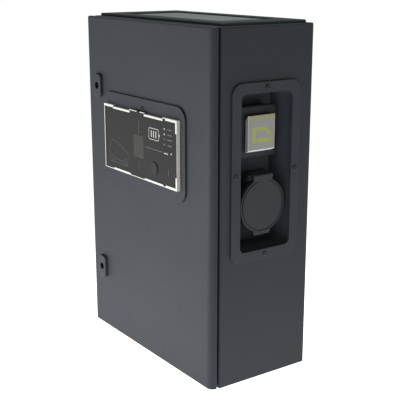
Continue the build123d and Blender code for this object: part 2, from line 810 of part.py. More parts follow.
def make_socket_gasket():
    flange_y = span(pocket_y, socket_flange_width)
    flange_z = span(socket_z, socket_flange_height)
    gasket = side_slab(flange_y, flange_z, socket_flange_corner, (pocket_floor, socket_face))
    cut = (pocket_floor - 1, socket_face + 1)
    gasket -= rod("x", sleeve_radius + pocket_fit, cut, (pocket_y, socket_z))
    for at in socket_fixings:
        gasket -= rod("x", screw_radius + pin_fit, cut, at)
    return gasket


def make_contact_carrier():
    """Insulating body with a flat on top and a round seat in the sleeve."""
    at = (pocket_y, socket_z)
    nose = rod("x", carrier_radius, (carrier_step, carrier_front), at)
    flat = (socket_z + carrier_flat, socket_z + 2 * carrier_radius)
    nose -= block((carrier_step, carrier_front + 1), span(pocket_y, 3 * carrier_radius), flat)
    seat = rod("x", well_radius - pin_fit / 2, (carrier_step - carrier_seat, carrier_step), at)
    carrier = nose + seat
    for y, z, radius in contacts:
        through = (carrier_step - carrier_seat - 1, carrier_front + 1)
        carrier -= rod("x", radius + contact_wall + pin_fit / 2, through, (pocket_y + y, socket_z + z))
    return carrier


def make_socket_contacts():
    """Seven sleeve contacts, with their tails behind the carrier."""
    pieces = []
    x = (carrier_step - carrier_seat - contact_tail, carrier_front - 1)
    for y, z, radius in contacts:
        at = (pocket_y + y, socket_z + z)
        sleeve = rod("x", radius + contact_wall, x, at)
        pieces.append(sleeve - rod("x", radius, (x[1] - contact_depth, x[1] + 1), at))
    return group(pieces)


def make_lid_hinge_pin():
    return rod("y", lid_pin_radius, span(pocket_y, 2 * ear_outer + 1), (lid_pin_x, lid_pin_z))


def make_lid_spring():
    """Torsion spring round the pin, between the two knuckles of the lid."""
    turn_radius = lid_pin_radius + spring_wire + pin_fit
    length = lid_spring_gap - 2 * spring_wire - 2 * side_play
    coil = Helix(pitch=2 * spring_wire + side_play, height=length, radius=turn_radius)
    wire = sweep(Plane(coil @ 0, z_dir=coil % 0) * Circle(spring_wire), path=coil)
    return Pos(lid_pin_x, pocket_y + length / 2, lid_pin_z) * Rot(90, 0, 0) * wire


def make_socket_lid():
    """Round lid with a rim, a groove, a finger tab below and a hinge block above."""
    at = (pocket_y, socket_z)
    lid = rod("x", lid_radius, (lid_back, lid_front), at)
    tab_z = (socket_z - lid_radius - lid_tab_drop, socket_z - lid_radius / 2)
    lid += side_slab(span(pocket_y, lid_tab_width), tab_z, lid_tab_drop, (lid_back, lid_front))
    hinge_z = (socket_z + lid_radius / 2, lid_pin_z)
    lid += block((lid_back, lid_front), span(pocket_y, lid_knuckle_width), hinge_z)
    lid += rod("y", lid_knuckle_radius, span(pocket_y, lid_knuckle_width), (lid_pin_x, lid_pin_z))
    rim = rod("x", lid_radius, (lid_front, lid_front + lid_rim_height), at)
    lid += rim - rod("x", lid_radius - lid_rim, (lid_front - 1, lid_front + lid_rim_height + 1), at)
    crown_radius = lid_radius - lid_rim - lid_groove
    lid += rod("x", crown_radius, (lid_front, lid_front + lid_rim_height / 2), at)
    lid -= rod("y", lid_pin_radius + pin_fit, span(pocket_y, 2 * lid_knuckle_width), (lid_pin_x, lid_pin_z))
    slot_z = (lid_pin_z - 2 * lid_knuckle_radius, lid_pin_z + 2 * lid_knuckle_radius)
    slot_x = (lid_back - 2 * lid_knuckle_radius, lid_back + lid_knuckle_radius - spring_wire)
    lid -= block(slot_x, span(pocket_y, lid_spring_gap), slot_z)
    return lid


def make_lid_seal():
    at = (pocket_y, socket_z)
    mean = (collar_radius + well_radius) / 2
    ring = rod("x", mean + lid_rim / 2, (collar_front, lid_back), at)
    return ring - rod("x", mean - lid_rim / 2, (collar_front - 1, lid_back + 1), at)


def make_lock_actuator():
    """Drive for the locking pin, saddled on top of the rear sleeve."""
    z = (socket_z + sleeve_radius / 2, socket_z + sleeve_radius + actuator_rise)
    drive = block(actuator_x, span(pocket_y, actuator_width), z)
    drive -= rod("x", sleeve_radius, (actuator_x[0] - 1, actuator_x[1] + 1), (pocket_y, socket_z))
    pin_z = (socket_z, socket_z + sleeve_radius + actuator_rise - body_sheet)
    return drive - rod("z", locking_pin_radius + side_play / 2, pin_z, (locking_pin_x, pocket_y))


def make_locking_pin():
    z = (socket_z + well_radius + side_play, socket_z + sleeve_radius + actuator_rise - body_sheet - side_play)
    return rod("z", locking_pin_radius, z, (locking_pin_x, pocket_y))


def make_rail(z):
    """Top-hat rail: web on the plate, two walls and two outward flanges."""
    half = rail_height / 2
    web = 0.36 * rail_height
    outline = [
        (plate_front, z - web), (plate_front, z + web), (rail_front + rail_sheet, z + web),
        (rail_front + rail_sheet, z + half), (rail_front, z + half), (rail_front, z + web - rail_sheet),
        (plate_front - rail_sheet, z + web - rail_sheet), (plate_front - rail_sheet, z - web + rail_sheet),
        (rail_front, z - web + rail_sheet), (rail_front, z - half), (rail_front + rail_sheet, z - half),
        (rail_front + rail_sheet, z - web),
    ]
    return along_x(outline, (rail_left, rail_right))


def make_din_rails():
    return group(make_rail(z) for z in (rail_upper_z, rail_lower_z, rail_terminal_z))


device_face = rail_front - device_depth
nose_face = device_face - nose_depth


def make_device(x, z, recess_count):
    """Modular housing: a tall body, a raised nose and screw recesses above and below it."""
    tall = device_height / 2
    nose = nose_height / 2
    outline = [
        (rail_front, z - tall), (rail_front, z + tall), (device_face, z + tall), (device_face, z + nose),
        (nose_face, z + nose), (nose_face, z - nose), (device_face, z - nose), (device_face, z - tall),
    ]
    device = along_x(outline, x)
    pitch = (x[1] - x[0]) / recess_count
    for index in range(recess_count):
        middle = x[0] + (index + 0.5) * pitch
        for side in (-1, 1):
            screw_z = z + side * (tall + nose) / 2
            device -= rod("y", module / 6, (device_face - 1, device_face + module / 2), (middle, screw_z))
            gap = block(span(middle, module / 2), (rail_front - device_depth / 2, rail_front - device_depth / 4),
                        span(z + side * tall, module))
            device -= gap
    return device


def device_span(start, modules):
    return (start, start + modules * module)


rcd_x = device_span(rail_left + 2, 4)
breaker_x = device_span(rcd_x[1] + device_gap, 4)
contactor_x = device_span(breaker_x[1] + device_gap, 3)
controller_x = device_span(rail_left + 2, 6)
meter_x = device_span(controller_x[1] + device_gap, 4)
supply_x = device_span(meter_x[1] + device_gap, 2)
rcd_slot_x = (rcd_x[0] + module, rcd_x[0] + 2 * module)
test_at = (rcd_x[1] - module, rail_upper_z)
breaker_slot_x = (breaker_x[0] + module / 2, breaker_x[1] - module / 2)
pivot_y = nose_face + slot_depth / 2


def toggle_slot(x):
    return block(x, (nose_face - 1, nose_face + slot_depth), span(rail_upper_z, slot_height))


def make_residual_current_device():
    device = make_device(rcd_x, rail_upper_z, 4) - toggle_slot(rcd_slot_x)
    pocket = test_button_size + 2 * side_play
    well = (nose_face - 1, nose_face + test_button_size)
    return device - block(span(test_at[0], pocket), well, span(test_at[1], pocket))


def make_circuit_breaker():
    return make_device(breaker_x, rail_upper_z, 4) - toggle_slot(breaker_slot_x)


def make_toggle(x):
    """Switch handle: a round barrel in its slot and a lever tipped upwards."""
    inside = (x[0] + side_play, x[1] - side_play)
    barrel = rod("x", toggle_radius, inside, (pivot_y, rail_upper_z))
    lever = block(inside, (-toggle_reach, 0), span(0, toggle_thickness))
    return barrel + Pos(0, pivot_y, rail_upper_z) * Rot(-toggle_angle, 0, 0) * lever


def make_rcd_test_button():
    y = (nose_face - test_button_travel, nose_face + test_button_size - test_button_travel - side_play)
    button = block(span(test_at[0], test_button_size), y, span(test_at[1], test_button_size))
    return fillet(button.faces().sort_by(Axis.Y)[0].edges(), test_button_travel / 3)


def make_contactor():
    device = make_device(contactor_x, rail_upper_z, 4)
    window = block(span((contactor_x[0] + contactor_x[1]) / 2, module), (nose_face - 1, nose_face + 1.5),
                   span(rail_upper_z, nose_height / 3))
    return device - window


def make_charge_controller():
    device = make_device(controller_x, rail_lower_z, 8)
    for index in range(4):
        light_at = (controller_x[0] + module * (index + 1), rail_lower_z + nose_height / 3)
        device -= rod("y", light_radius, (nose_face - 1, nose_face + 1), light_at)
    return device


def make_energy_meter():
    device = make_device(meter_x, rail_lower_z, 4)
    display = block(span((meter_x[0] + meter_x[1]) / 2, 3 * module), (nose_face - 1, nose_face + 1.5),
                    span(rail_lower_z + nose_height / 8, nose_height / 2))
    return device - display


def make_power_supply():
    device = make_device(supply_x, rail_lower_z, 2)
    for index in range(5):
        slot_z = rail_lower_z + (index - 2) * nose_height / 6
        device -= block(span((supply_x[0] + supply_x[1]) / 2, module), (nose_face - 1, nose_face + 2),
                        span(slot_z, nose_height / 16))
    return device


def make_terminal_blocks():
    """Row of feed-through terminals, each with a stepped side view and two screw wells."""
    z = rail_terminal_z
    tall = device_height / 3.2
    step = tall / 2
    outline = [
        (rail_front, z - tall), (rail_front, z + tall), (rail_front - device_depth / 2, z + tall),
        (rail_front - device_depth * 0.8, z + step), (rail_front - device_depth * 0.8, z - step),
        (rail_front - device_depth / 2, z - tall),
    ]
    blocks = []
    for index in range(terminal_count):
        x = rail_left + module + index * terminal_pitch
        terminal = along_x(outline, (x, x + terminal_pitch - 0.2))
        for side in (-1, 1):
            well = (x + terminal_pitch / 2, z + side * step * 0.6)
            terminal -= rod("y", terminal_pitch / 4, (rail_front - device_depth, rail_front - device_depth / 2), well)
        blocks.append(terminal)
    return group(blocks)


def make_duct(z):
    """Slotted wiring duct with its snap-on cover."""
    open_face = plate_front - duct_depth
    x = (rail_left, rail_right)
    duct = block(x, (open_face, plate_front), span(z, duct_width))
    duct -= block((x[0] - 1, x[1] + 1), (open_face - 1, plate_front - duct_wall), span(z, duct_width - 2 * duct_wall))
    slots = int((x[1] - x[0] - duct_pitch) // duct_pitch)
    for index in range(slots):
        slot_x = span(x[0] + (index + 1) * duct_pitch, duct_slot)
        duct -= block(slot_x, (open_face + 4, plate_front - duct_depth / 4), span(z, duct_width + 2))
    cover = block(x, (open_face - duct_wall, open_face), span(z, duct_width))
    return [duct, cover]


def make_wiring_ducts():
    return group(make_duct(duct_upper_z) + make_duct(duct_lower_z))


parts = {
    "enclosure_body": make_enclosure_body(),
    "roof_frame": make_roof_frame(),
    "entry_plate": make_entry_plate(),
    "entry_gasket": make_entry_gasket(),
    "entry_screws": make_entry_screws(),
    "mounting_plate": make_mounting_plate(),
    "plate_studs": make_plate_studs(),
    "plate_nuts": make_plate_nuts(),
    "earth_stud": make_earth_stud(),
    "hinge_brackets": make_hinge_brackets(),
    "door": make_door(),
    "door_gasket": make_door_gasket(),
    "hinge_lugs": make_hinge_lugs(),
    "hinge_pins": make_hinge_pins(),
    "hmi_gasket": make_hmi_gasket(),
    "hmi_plate": make_hmi_plate(),
    "hmi_screw": make_hmi_screw(),
    "hmi_frame": make_hmi_frame(),
    "hmi_panel": make_hmi_panel(),
    "light_pipes": make_light_pipes(),
    "hmi_button": make_hmi_button(),
    "hmi_rear_cover": make_hmi_rear_cover(),
    "hmi_board": make_hmi_board(),
    "lock_nuts": make_lock_nuts(),
    "pocket_tub": make_pocket_tub(),
    "pocket_gasket": make_pocket_gasket(),
    "pocket_screws": make_pocket_screws(),
    "reader_box": make_reader_box(),
    "reader_frame": make_reader_frame(),
    "reader_insert": make_reader_insert(),
    "socket_housing": make_socket_housing(),
    "socket_gasket": make_socket_gasket(),
    "socket_screws": make_socket_screws(),
    "contact_carrier": make_contact_carrier(),
    "socket_contacts": make_socket_contacts(),
    "lid_hinge_pin": make_lid_hinge_pin(),
    "lid_spring": make_lid_spring(),
    "socket_lid": make_socket_lid(),
    "lid_seal": make_lid_seal(),
    "lock_actuator": make_lock_actuator(),
    "locking_pin": make_locking_pin(),
    "din_rails": make_din_rails(),
    "residual_current_device": make_residual_current_device(),
    "rcd_toggle": make_toggle(rcd_slot_x),
    "rcd_test_button": make_rcd_test_button(),
    "circuit_breaker": make_circuit_breaker(),
    "breaker_toggle": make_toggle(breaker_slot_x),
    "contactor": make_contactor(),
    "charge_controller": make_charge_controller(),
    "energy_meter": make_energy_meter(),
    "power_supply": make_power_supply(),
    "terminal_blocks": make_terminal_blocks(),
    "wiring_ducts": make_wiring_ducts(),
}
for place, z in lock_rows.items():
    parts["lock_housing_" + place] = make_lock_housing(z)
    parts["lock_barrel_" + place] = make_lock_barrel(z)
    parts["lock_cam_" + place] = make_lock_cam(z)

os.makedirs("parts", exist_ok=True)
for node, solid in parts.items():
    export_step(solid, os.path.join("parts", node + ".step"))
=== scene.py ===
import bmesh
import bpy
import json
import math
from mathutils import Matrix, Vector


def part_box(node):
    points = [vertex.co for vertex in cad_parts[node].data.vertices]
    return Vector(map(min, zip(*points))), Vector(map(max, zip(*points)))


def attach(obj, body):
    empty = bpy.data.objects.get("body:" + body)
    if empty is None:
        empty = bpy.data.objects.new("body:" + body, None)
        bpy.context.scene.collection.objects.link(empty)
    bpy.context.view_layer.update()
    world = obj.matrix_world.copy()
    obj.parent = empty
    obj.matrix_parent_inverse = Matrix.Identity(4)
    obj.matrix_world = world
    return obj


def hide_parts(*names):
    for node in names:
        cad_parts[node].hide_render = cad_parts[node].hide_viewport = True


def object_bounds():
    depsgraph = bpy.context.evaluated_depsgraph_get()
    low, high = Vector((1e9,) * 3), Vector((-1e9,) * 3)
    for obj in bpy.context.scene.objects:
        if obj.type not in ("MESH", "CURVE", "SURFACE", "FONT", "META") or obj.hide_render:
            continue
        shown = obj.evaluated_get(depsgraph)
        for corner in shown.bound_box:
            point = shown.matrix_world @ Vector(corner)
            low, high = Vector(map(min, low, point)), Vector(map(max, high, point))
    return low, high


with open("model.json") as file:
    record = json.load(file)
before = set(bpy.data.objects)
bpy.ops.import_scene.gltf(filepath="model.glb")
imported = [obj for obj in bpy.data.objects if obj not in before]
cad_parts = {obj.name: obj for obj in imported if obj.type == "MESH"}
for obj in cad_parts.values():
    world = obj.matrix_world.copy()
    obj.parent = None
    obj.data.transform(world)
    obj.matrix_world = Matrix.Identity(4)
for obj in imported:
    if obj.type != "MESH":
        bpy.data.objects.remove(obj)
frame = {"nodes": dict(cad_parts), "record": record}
cadBox = [list(corner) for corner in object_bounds()]
mm = 0.001
print("frame loaded with", len(frame["nodes"]), "nodes")


def linear(code):  # sRGB hex to the linear colour that shader sockets take
    channels = [int(code[i:i + 2], 16) / 255 for i in (1, 3, 5)]
    return [c / 12.92 if c <= 0.04045 else ((c + 0.055) / 1.055) ** 2.4 for c in channels] + [1.0]


def perUnit(size):  # texture scale for a pattern of this size in mm
    return 1 / (size * mm)


def addNode(tree, kind, settings=None, links=None):  # one node, its settings and what feeds it
    node = tree.nodes.new(kind)
    for key, value in (settings or {}).items():
        if isinstance(key, str) and key[0].islower():  # a choice of the node itself, not a socket
            setattr(node, key, value)
        else:
            node.inputs[key].default_value = value
    for key, source in (links or {}).items():
        tree.links.new(source, node.inputs[key])
    return node


def startMaterial(name, settings):  # material with its shader, and Object coordinates ready to read
    material = bpy.data.materials.new(name)
    material.use_nodes = True
    tree = material.node_tree
    tree.nodes.clear()
    shader = addNode(tree, "ShaderNodeBsdfPrincipled", settings)
    addNode(tree, "ShaderNodeOutputMaterial", {}, {"Surface": shader.outputs["BSDF"]})
    place = addNode(tree, "ShaderNodeTexCoord").outputs["Object"]
    return material, tree, shader, place


noiseSpan = {"From Min": 0.3, "From Max": 0.7}  # where most of a noise texture's values lie
mixFactor, mixFirst, mixSecond, mixed = 0, 6, 7, 2  # sockets of a Mix node that mixes colours


def addTone(tree, shader, place, dark, light, size):  # broad drift between two colours
    drift = addNode(tree, "ShaderNodeTexNoise", {"Scale": perUnit(size), "Detail": 3.0}, {"Vector": place})
    spread = addNode(tree, "ShaderNodeMapRange", noiseSpan, {"Value": drift.outputs["Fac"]})
    tone = addNode(tree, "ShaderNodeMix",
                   {"data_type": "RGBA", mixFirst: linear(dark), mixSecond: linear(light)},
                   {mixFactor: spread.outputs["Result"]})
    tree.links.new(tone.outputs[mixed], shader.inputs["Base Color"])
    return tone


def addGrain(tree, shader, place, size, height, low, high):  # fine grain as relief and as gloss
    grain = addNode(tree, "ShaderNodeTexNoise", {"Scale": perUnit(size), "Detail": 2.0}, {"Vector": place})
    relief = addNode(tree, "ShaderNodeBump", {"Strength": 1.0, "Distance": height * mm},
                     {"Height": grain.outputs["Fac"]})
    gloss = addNode(tree, "ShaderNodeMapRange", {**noiseSpan, "To Min": low, "To Max": high},
                    {"Value": grain.outputs["Fac"]})
    tree.links.new(relief.outputs["Normal"], shader.inputs["Normal"])
    tree.links.new(gloss.outputs["Result"], shader.inputs["Roughness"])


def grainedFinish(name, optics, tones, drift, grain, height, rough):  # drift and grain sizes in mm
    material, tree, shader, place = startMaterial(name, optics)
    addTone(tree, shader, place, *tones, size=drift)
    addGrain(tree, shader, place, grain, height, *rough)
    return material


# Finishes: each is named for the real material and how its surface was made


def polyesterPowderCoat():  # anthracite powder baked on steel: satin, with a fine orange peel
    # true peel is about 1 mm, drawn coarser to show
    return grainedFinish("polyesterPowderCoat", {"IOR": 1.5, "Specular IOR Level": 0.2},
                         ("#2f3338", "#32363b"), drift=160.0, grain=2.6, height=0.05, rough=(0.52, 0.62))


def roofPaintedReflectionCoat():  # powder on the roof frame: the same satin coat, tinted greener as a painted reflection of teal surroundings on its upward faces
    return grainedFinish("roofPaintedReflectionCoat", {"IOR": 1.5, "Specular IOR Level": 0.2},
                         ("#2b3637", "#2e393a"), drift=160.0, grain=2.6, height=0.05, rough=(0.52, 0.62))


def paleCoilCoat():  # mid-grey coil-coated sheet: smooth, a little chalky
    return grainedFinish("paleCoilCoat", {"IOR": 1.5, "Specular IOR Level": 0.3},
                         ("#727879", "#7b8182"), drift=90.0, grain=3.0, height=0.03, rough=(0.55, 0.65))


def zincPlatedSteel():  # bright zinc: cool metal with a faint spangle and a soft shine
    material, tree, shader, place = startMaterial("zincPlatedSteel", {"Metallic": 1.0})
    cells = addNode(tree, "ShaderNodeTexVoronoi", {"Scale": perUnit(9.0)}, {"Vector": place})
    tone = addNode(tree, "ShaderNodeMix",
                   {"data_type": "RGBA", mixFirst: linear("#a9adaf"), mixSecond: linear("#c3c6c6")},
                   {mixFactor: cells.outputs["Distance"]})
    tree.links.new(tone.outputs[mixed], shader.inputs["Base Color"])
    addGrain(tree, shader, place, size=5.0, height=0.01, low=0.3, high=0.46)
    return material


def cellularRubber():  # die-cut sealing rubber: near black, dusty in its pores
    return grainedFinish("cellularRubber", {"IOR": 1.52, "Specular IOR Level": 0.2},
                         ("#1f2022", "#27282a"), drift=12.0, grain=1.2, height=0.12, rough=(0.75, 0.9))


pocketPaintedLight = {"from": 4.0, "to": 30.0}  # depths below the rim between which the pocket is painted paler: painted light standing in for light bounced into it


def sparkTexturedAbs():  # anthracite ABS from a spark-eroded mould: even fine grain, painted paler down inside the pocket as painted light
    material, tree, shader, place = startMaterial("sparkTexturedAbs",
                                                  {"IOR": 1.53, "Specular IOR Level": 0.2})
    tone = addTone(tree, shader, place, "#30343a", "#34383d", size=60.0)
    # true grain is about 0.4 mm, drawn coarser to show
    addGrain(tree, shader, place, size=1.8, height=0.07, low=0.5, high=0.66)
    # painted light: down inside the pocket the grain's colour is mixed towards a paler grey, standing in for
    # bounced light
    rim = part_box("pocket_tub")[1].x
    split = addNode(tree, "ShaderNodeSeparateXYZ", {}, {"Vector": place})
    inside = addNode(tree, "ShaderNodeMapRange",
                     {"From Min": rim - pocketPaintedLight["from"] * mm, "From Max": rim - pocketPaintedLight["to"] * mm},
                     {"Value": split.outputs["X"]})
    paintedLightTone = addNode(tree, "ShaderNodeMix", {"data_type": "RGBA", mixSecond: linear("#50555d")},
                   {mixFactor: inside.outputs["Result"], mixFirst: tone.outputs[mixed]})
    tree.links.new(paintedLightTone.outputs[mixed], shader.inputs["Base Color"])
    return material


def glassFilledNylon():  # black nylon with glass fibre: matt, pale flecks at the skin
    return grainedFinish("glassFilledNylon", {"IOR": 1.53, "Specular IOR Level": 0.3},
                         ("#2a2c2f", "#313336"), drift=8.0, grain=1.5, height=0.06, rough=(0.45, 0.62))


def satinNylon():  # dark grey lid moulding: satin, softly mottled
    return grainedFinish("satinNylon", {"IOR": 1.53, "Specular IOR Level": 0.22},
                         ("#2c3034", "#303439"), drift=30.0, grain=1.6, height=0.05, rough=(0.42, 0.56))


def darkAbs():  # dark grey ABS of the reader's cover: smooth satin
    return grainedFinish("darkAbs", {"IOR": 1.53, "Specular IOR Level": 0.2},
                         ("#272b2c", "#2b2f30"), drift=25.0, grain=1.6, height=0.04, rough=(0.4, 0.52))


def whiteAbs():  # white ABS of the panel frame: bright satin, faint flow lines
    return grainedFinish("whiteAbs", {"IOR": 1.53},
                         ("#cececa", "#d8d8d3"), drift=40.0, grain=2.0, height=0.02, rough=(0.34, 0.44))


def paleAbs():  # off-white ABS of the reading face: clean and glossy
    return grainedFinish("paleAbs", {"IOR": 1.53},
                         ("#f0f0ec", "#f6f6f2"), drift=30.0, grain=2.0, height=0.02, rough=(0.25, 0.36))


def printedPolyesterFoil():  # dark neutral front foil, printed from behind: fine matt hard coat
    return grainedFinish("printedPolyesterFoil", {"IOR": 1.57, "Specular IOR Level": 0.1},
                         ("#232323", "#262625"), drift=70.0, grain=1.4, height=0.02, rough=(0.34, 0.46))


def softTouchPlastic():  # dark rubbery lacquer on the push button: very matt
    return grainedFinish("softTouchPlastic", {"IOR": 1.5, "Specular IOR Level": 0.15},
                         ("#2d2d2c", "#323231"), drift=14.0, grain=1.0, height=0.03, rough=(0.55, 0.68))


pipeStep = {"from": 0.48, "to": 0.56}  # shares of the pipes' height between which green turns pale


def clearAcrylic():  # moulded light pipes: glossy, the upper two pale and the lower two green
    material, tree, shader, place = startMaterial("clearAcrylic", {"IOR": 1.49, "Roughness": 0.15})
    split = addNode(tree, "ShaderNodeSeparateXYZ", {}, {"Vector": place})
    lowest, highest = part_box("light_pipes")
    tall = highest.z - lowest.z
    step = addNode(tree, "ShaderNodeMapRange",
                   {"From Min": lowest.z + pipeStep["from"] * tall,
                    "From Max": lowest.z + pipeStep["to"] * tall},
                   {"Value": split.outputs["Z"]})
    tone = addNode(tree, "ShaderNodeMix",
                   {"data_type": "RGBA", mixFirst: linear("#4f6b48"), mixSecond: linear("#a3adb3")},
                   {mixFactor: step.outputs["Result"]})
    tree.links.new(tone.outputs[mixed], shader.inputs["Base Color"])
    return material


def coatedZinc():  # cast zinc lock housings, coated close to the door: smooth satin
    return grainedFinish("coatedZinc", {"IOR": 1.5, "Specular IOR Level": 0.2},
                         ("#2d3136", "#303439"), drift=20.0, grain=1.6, height=0.03, rough=(0.42, 0.55))


def blackenedSteel():  # oil-blackened steel: dark metal with a soft sheen
    return grainedFinish("blackenedSteel", {"Metallic": 1.0},
                         ("#3a3b3d", "#4b4c4e"), drift=6.0, grain=1.2, height=0.02, rough=(0.4, 0.55))


def silverFlashedBrass():  # contact sleeves: warm metal under a thin pale flash
    return grainedFinish("silverFlashedBrass", {"Metallic": 1.0},
                         ("#cdb27a", "#ddd0b2"), drift=4.0, grain=1.0, height=0.01, rough=(0.2, 0.34))


def paleThermoset():  # pale grey device housings: dry, slightly speckled
    return grainedFinish("paleThermoset", {"IOR": 1.55, "Specular IOR Level": 0.4},
                         ("#c6c9c6", "#d2d4d1"), drift=18.0, grain=1.2, height=0.04, rough=(0.48, 0.62))


def blackThermoset():  # black device housings: dry, slightly speckled
    return grainedFinish("blackThermoset", {"IOR": 1.55, "Specular IOR Level": 0.4},
                         ("#2a2b2e", "#323437"), drift=18.0, grain=1.2, height=0.04, rough=(0.45, 0.6))


def blueNylon():  # moulded switch handles: smooth and even
    return grainedFinish("blueNylon", {"IOR": 1.53},
                         ("#27508f", "#2f5a9b"), drift=10.0, grain=1.2, height=0.03, rough=(0.35, 0.48))


def solderMaskBoard():  # circuit board under green mask: glossy, copper runs show as paler bands
    material, tree, shader, place = startMaterial("solderMaskBoard", {"IOR": 1.55, "Roughness": 0.28})
    runs = addNode(tree, "ShaderNodeTexWave", {"Scale": perUnit(30.0), "Distortion": 6.0, "Detail": 1.0},
                   {"Vector": place})
    edge = addNode(tree, "ShaderNodeMapRange", {"From Min": 0.55, "From Max": 0.6},
                   {"Value": runs.outputs["Fac"]})
    tone = addNode(tree, "ShaderNodeMix",
                   {"data_type": "RGBA", mixFirst: linear("#0e4a2c"), mixSecond: linear("#1d6a42")},
                   {mixFactor: edge.outputs["Result"]})
    tree.links.new(tone.outputs[mixed], shader.inputs["Base Color"])
    return material


def greyVinyl():  # extruded wiring duct: satin, with faint draw lines along X
    material, tree, shader, place = startMaterial("greyVinyl", {"IOR": 1.54, "Specular IOR Level": 0.4})
    addTone(tree, shader, place, "#a3a7aa", "#adb1b3", size=50.0)
    lengthways = addNode(tree, "ShaderNodeMapping", {"Scale": (0.02, 1.0, 1.0)}, {"Vector": place})
    addGrain(tree, shader, lengthways.outputs["Vector"], size=1.5, height=0.03, low=0.4, high=0.54)
    return material


def beigeNylon():  # terminal bodies: warm, slightly waxy
    return grainedFinish("beigeNylon", {"IOR": 1.53, "Specular IOR Level": 0.4},
                         ("#c0b99f", "#cac3aa"), drift=14.0, grain=1.2, height=0.03, rough=(0.42, 0.56))


finishes = {
    "powder_coat": polyesterPowderCoat(), "entry_grey": paleCoilCoat(), "zinc_steel": zincPlatedSteel(),
    "black_rubber": cellularRubber(), "pocket_abs": sparkTexturedAbs(), "black_pa": glassFilledNylon(),
    "lid_grey": satinNylon(), "reader_dark": darkAbs(), "reader_pale": paleAbs(), "panel_pale": whiteAbs(),
    "panel_dark": printedPolyesterFoil(), "button_dark": softTouchPlastic(), "clear_pipe": clearAcrylic(),
    "lock_black": coatedZinc(), "dark_steel": blackenedSteel(), "contact_brass": silverFlashedBrass(),
    "device_grey": paleThermoset(), "device_dark": blackThermoset(), "handle_blue": blueNylon(),
    "board_green": solderMaskBoard(), "duct_grey": greyVinyl(), "terminal_beige": beigeNylon(),
}
for row in frame["record"]["subparts"]:
    node = frame["nodes"][row["node"]]
    node.data.materials.clear()
    node.data.materials.append(finishes[row["material_slot"]])
# the roof frame's greener tint is a painted reflection of teal surroundings, not a different coat
frame["nodes"]["roof_frame"].data.materials[0] = roofPaintedReflectionCoat()


# Flat shapes: outlines drawn as u, v in mm on a face of the object, then raised as plates and ribbons

faceTurns = {
    "front": Matrix(((1, 0, 0), (0, 0, -1), (0, 1, 0))),  # u to the right, v up, out of the door
    "side": Matrix(((0, 0, 1), (1, 0, 0), (0, 1, 0))),  # u to the wall, v up, out of the right-hand side
}


def roundedBar(u, v, radius=0.0, steps=5):  # outline of a rectangle between two pairs of limits
    if radius <= 0:
        return [(u[0], v[0]), (u[1], v[0]), (u[1], v[1]), (u[0], v[1])]
    outline = []
    for cu, cv, turn in ((u[1], v[0], -90), (u[1], v[1], 0), (u[0], v[1], 90), (u[0], v[0], 180)):
        centre = (cu - radius if cu == u[1] else cu + radius, cv - radius if cv == v[1] else cv + radius)
        for i in range(steps + 1):
            angle = math.radians(turn + 90 * i / steps)
            outline.append((centre[0] + radius * math.cos(angle), centre[1] + radius * math.sin(angle)))
    return outline


def circle(centre, radius, steps=28):
    return [(centre[0] + radius * math.cos(2 * math.pi * i / steps),
             centre[1] + radius * math.sin(2 * math.pi * i / steps)) for i in range(steps)]


def curveThrough(points, steps=6):  # smooth line through a few points
    line = []
    ends = [points[0]] + list(points) + [points[-1]]
    for i in range(len(points) - 1):
        a, b, c, d = (Vector(p) for p in ends[i:i + 4])
        for step in range(steps):
            t = step / steps
            p = 0.5 * (2 * b + (c - a) * t + (2 * a - 5 * b + 4 * c - d) * t * t
                       + (3 * b - a - 3 * c + d) * t ** 3)
            line.append((p.x, p.y))
    return line + [points[-1]]


def addPlate(bm, outline, thick, base=0.0):  # closed plate from an outline
    low = [bm.verts.new((u, v, base)) for u, v in outline]
    high = [bm.verts.new((u, v, base + thick)) for u, v in outline]
    bm.faces.new(high)
    bm.faces.new(low[::-1])
    for i in range(len(outline)):
        j = (i + 1) % len(outline)
        bm.faces.new((low[i], low[j], high[j], high[i]))


def bridgeLoops(bm, loops):  # faces between each loop of points and the next
    for a, b in zip(loops, loops[1:]):
        for i in range(len(a)):
            j = (i + 1) % len(a)
            bm.faces.new((a[i], a[j], b[j], b[i]))


def addRibbon(bm, points, width, thick, closed=False):  # closed ribbon of even width along a line
    count = len(points)
    sharpest = 0.4  # keeps the corner of a sharp bend short
    rows = []
    for i in range(count):
        here = Vector(points[i])
        before = Vector(points[i - 1]) if closed or i > 0 else None
        after = Vector(points[(i + 1) % count]) if closed or i < count - 1 else None
        ends = [pair for pair in ((before, here), (here, after)) if None not in pair]
        ways = [(end - start).normalized() for start, end in ends]
        across = sum((Vector((-way.y, way.x)) for way in ways), Vector((0, 0))).normalized()
        reach = width / 2 / max(sharpest, across.dot(Vector((-ways[0].y, ways[0].x))))
        sides = (here - across * reach, here + across * reach)
        rows.append([bm.verts.new((*side, z)) for side, z in
                     ((sides[0], 0.0), (sides[1], 0.0), (sides[1], thick), (sides[0], thick))])
    for i in range(count if closed else count - 1):
        a, b = rows[i], rows[(i + 1) % count]
        for k in range(4):
            bm.faces.new((a[k], b[k], b[(k + 1) % 4], a[(k + 1) % 4]))
    if not closed:
        bm.faces.new(rows[0])
        bm.faces.new(rows[-1][::-1])


def finishPiece(bm, name, material, face, corner):  # mesh in mm on a face becomes an object in place
    bmesh.ops.recalc_face_normals(bm, faces=bm.faces)
    mesh = bpy.data.meshes.new(name)
    bm.to_mesh(mesh)
    bm.free()
    mesh.transform(Matrix.Translation(corner) @ (faceTurns[face].to_4x4() @ Matrix.Scale(mm, 4)))
    mesh.materials.append(material)
    piece = bpy.data.objects.new(name, mesh)
    bpy.context.scene.collection.objects.link(piece)
    return piece


def screenInk(name, dark, light):  # screen-printed ink: matt, slightly uneven cover
    return grainedFinish(name, {"IOR": 1.5, "Specular IOR Level": 0.3},
                         (dark, light), drift=3.0, grain=0.8, height=0.01, rough=(0.5, 0.65))


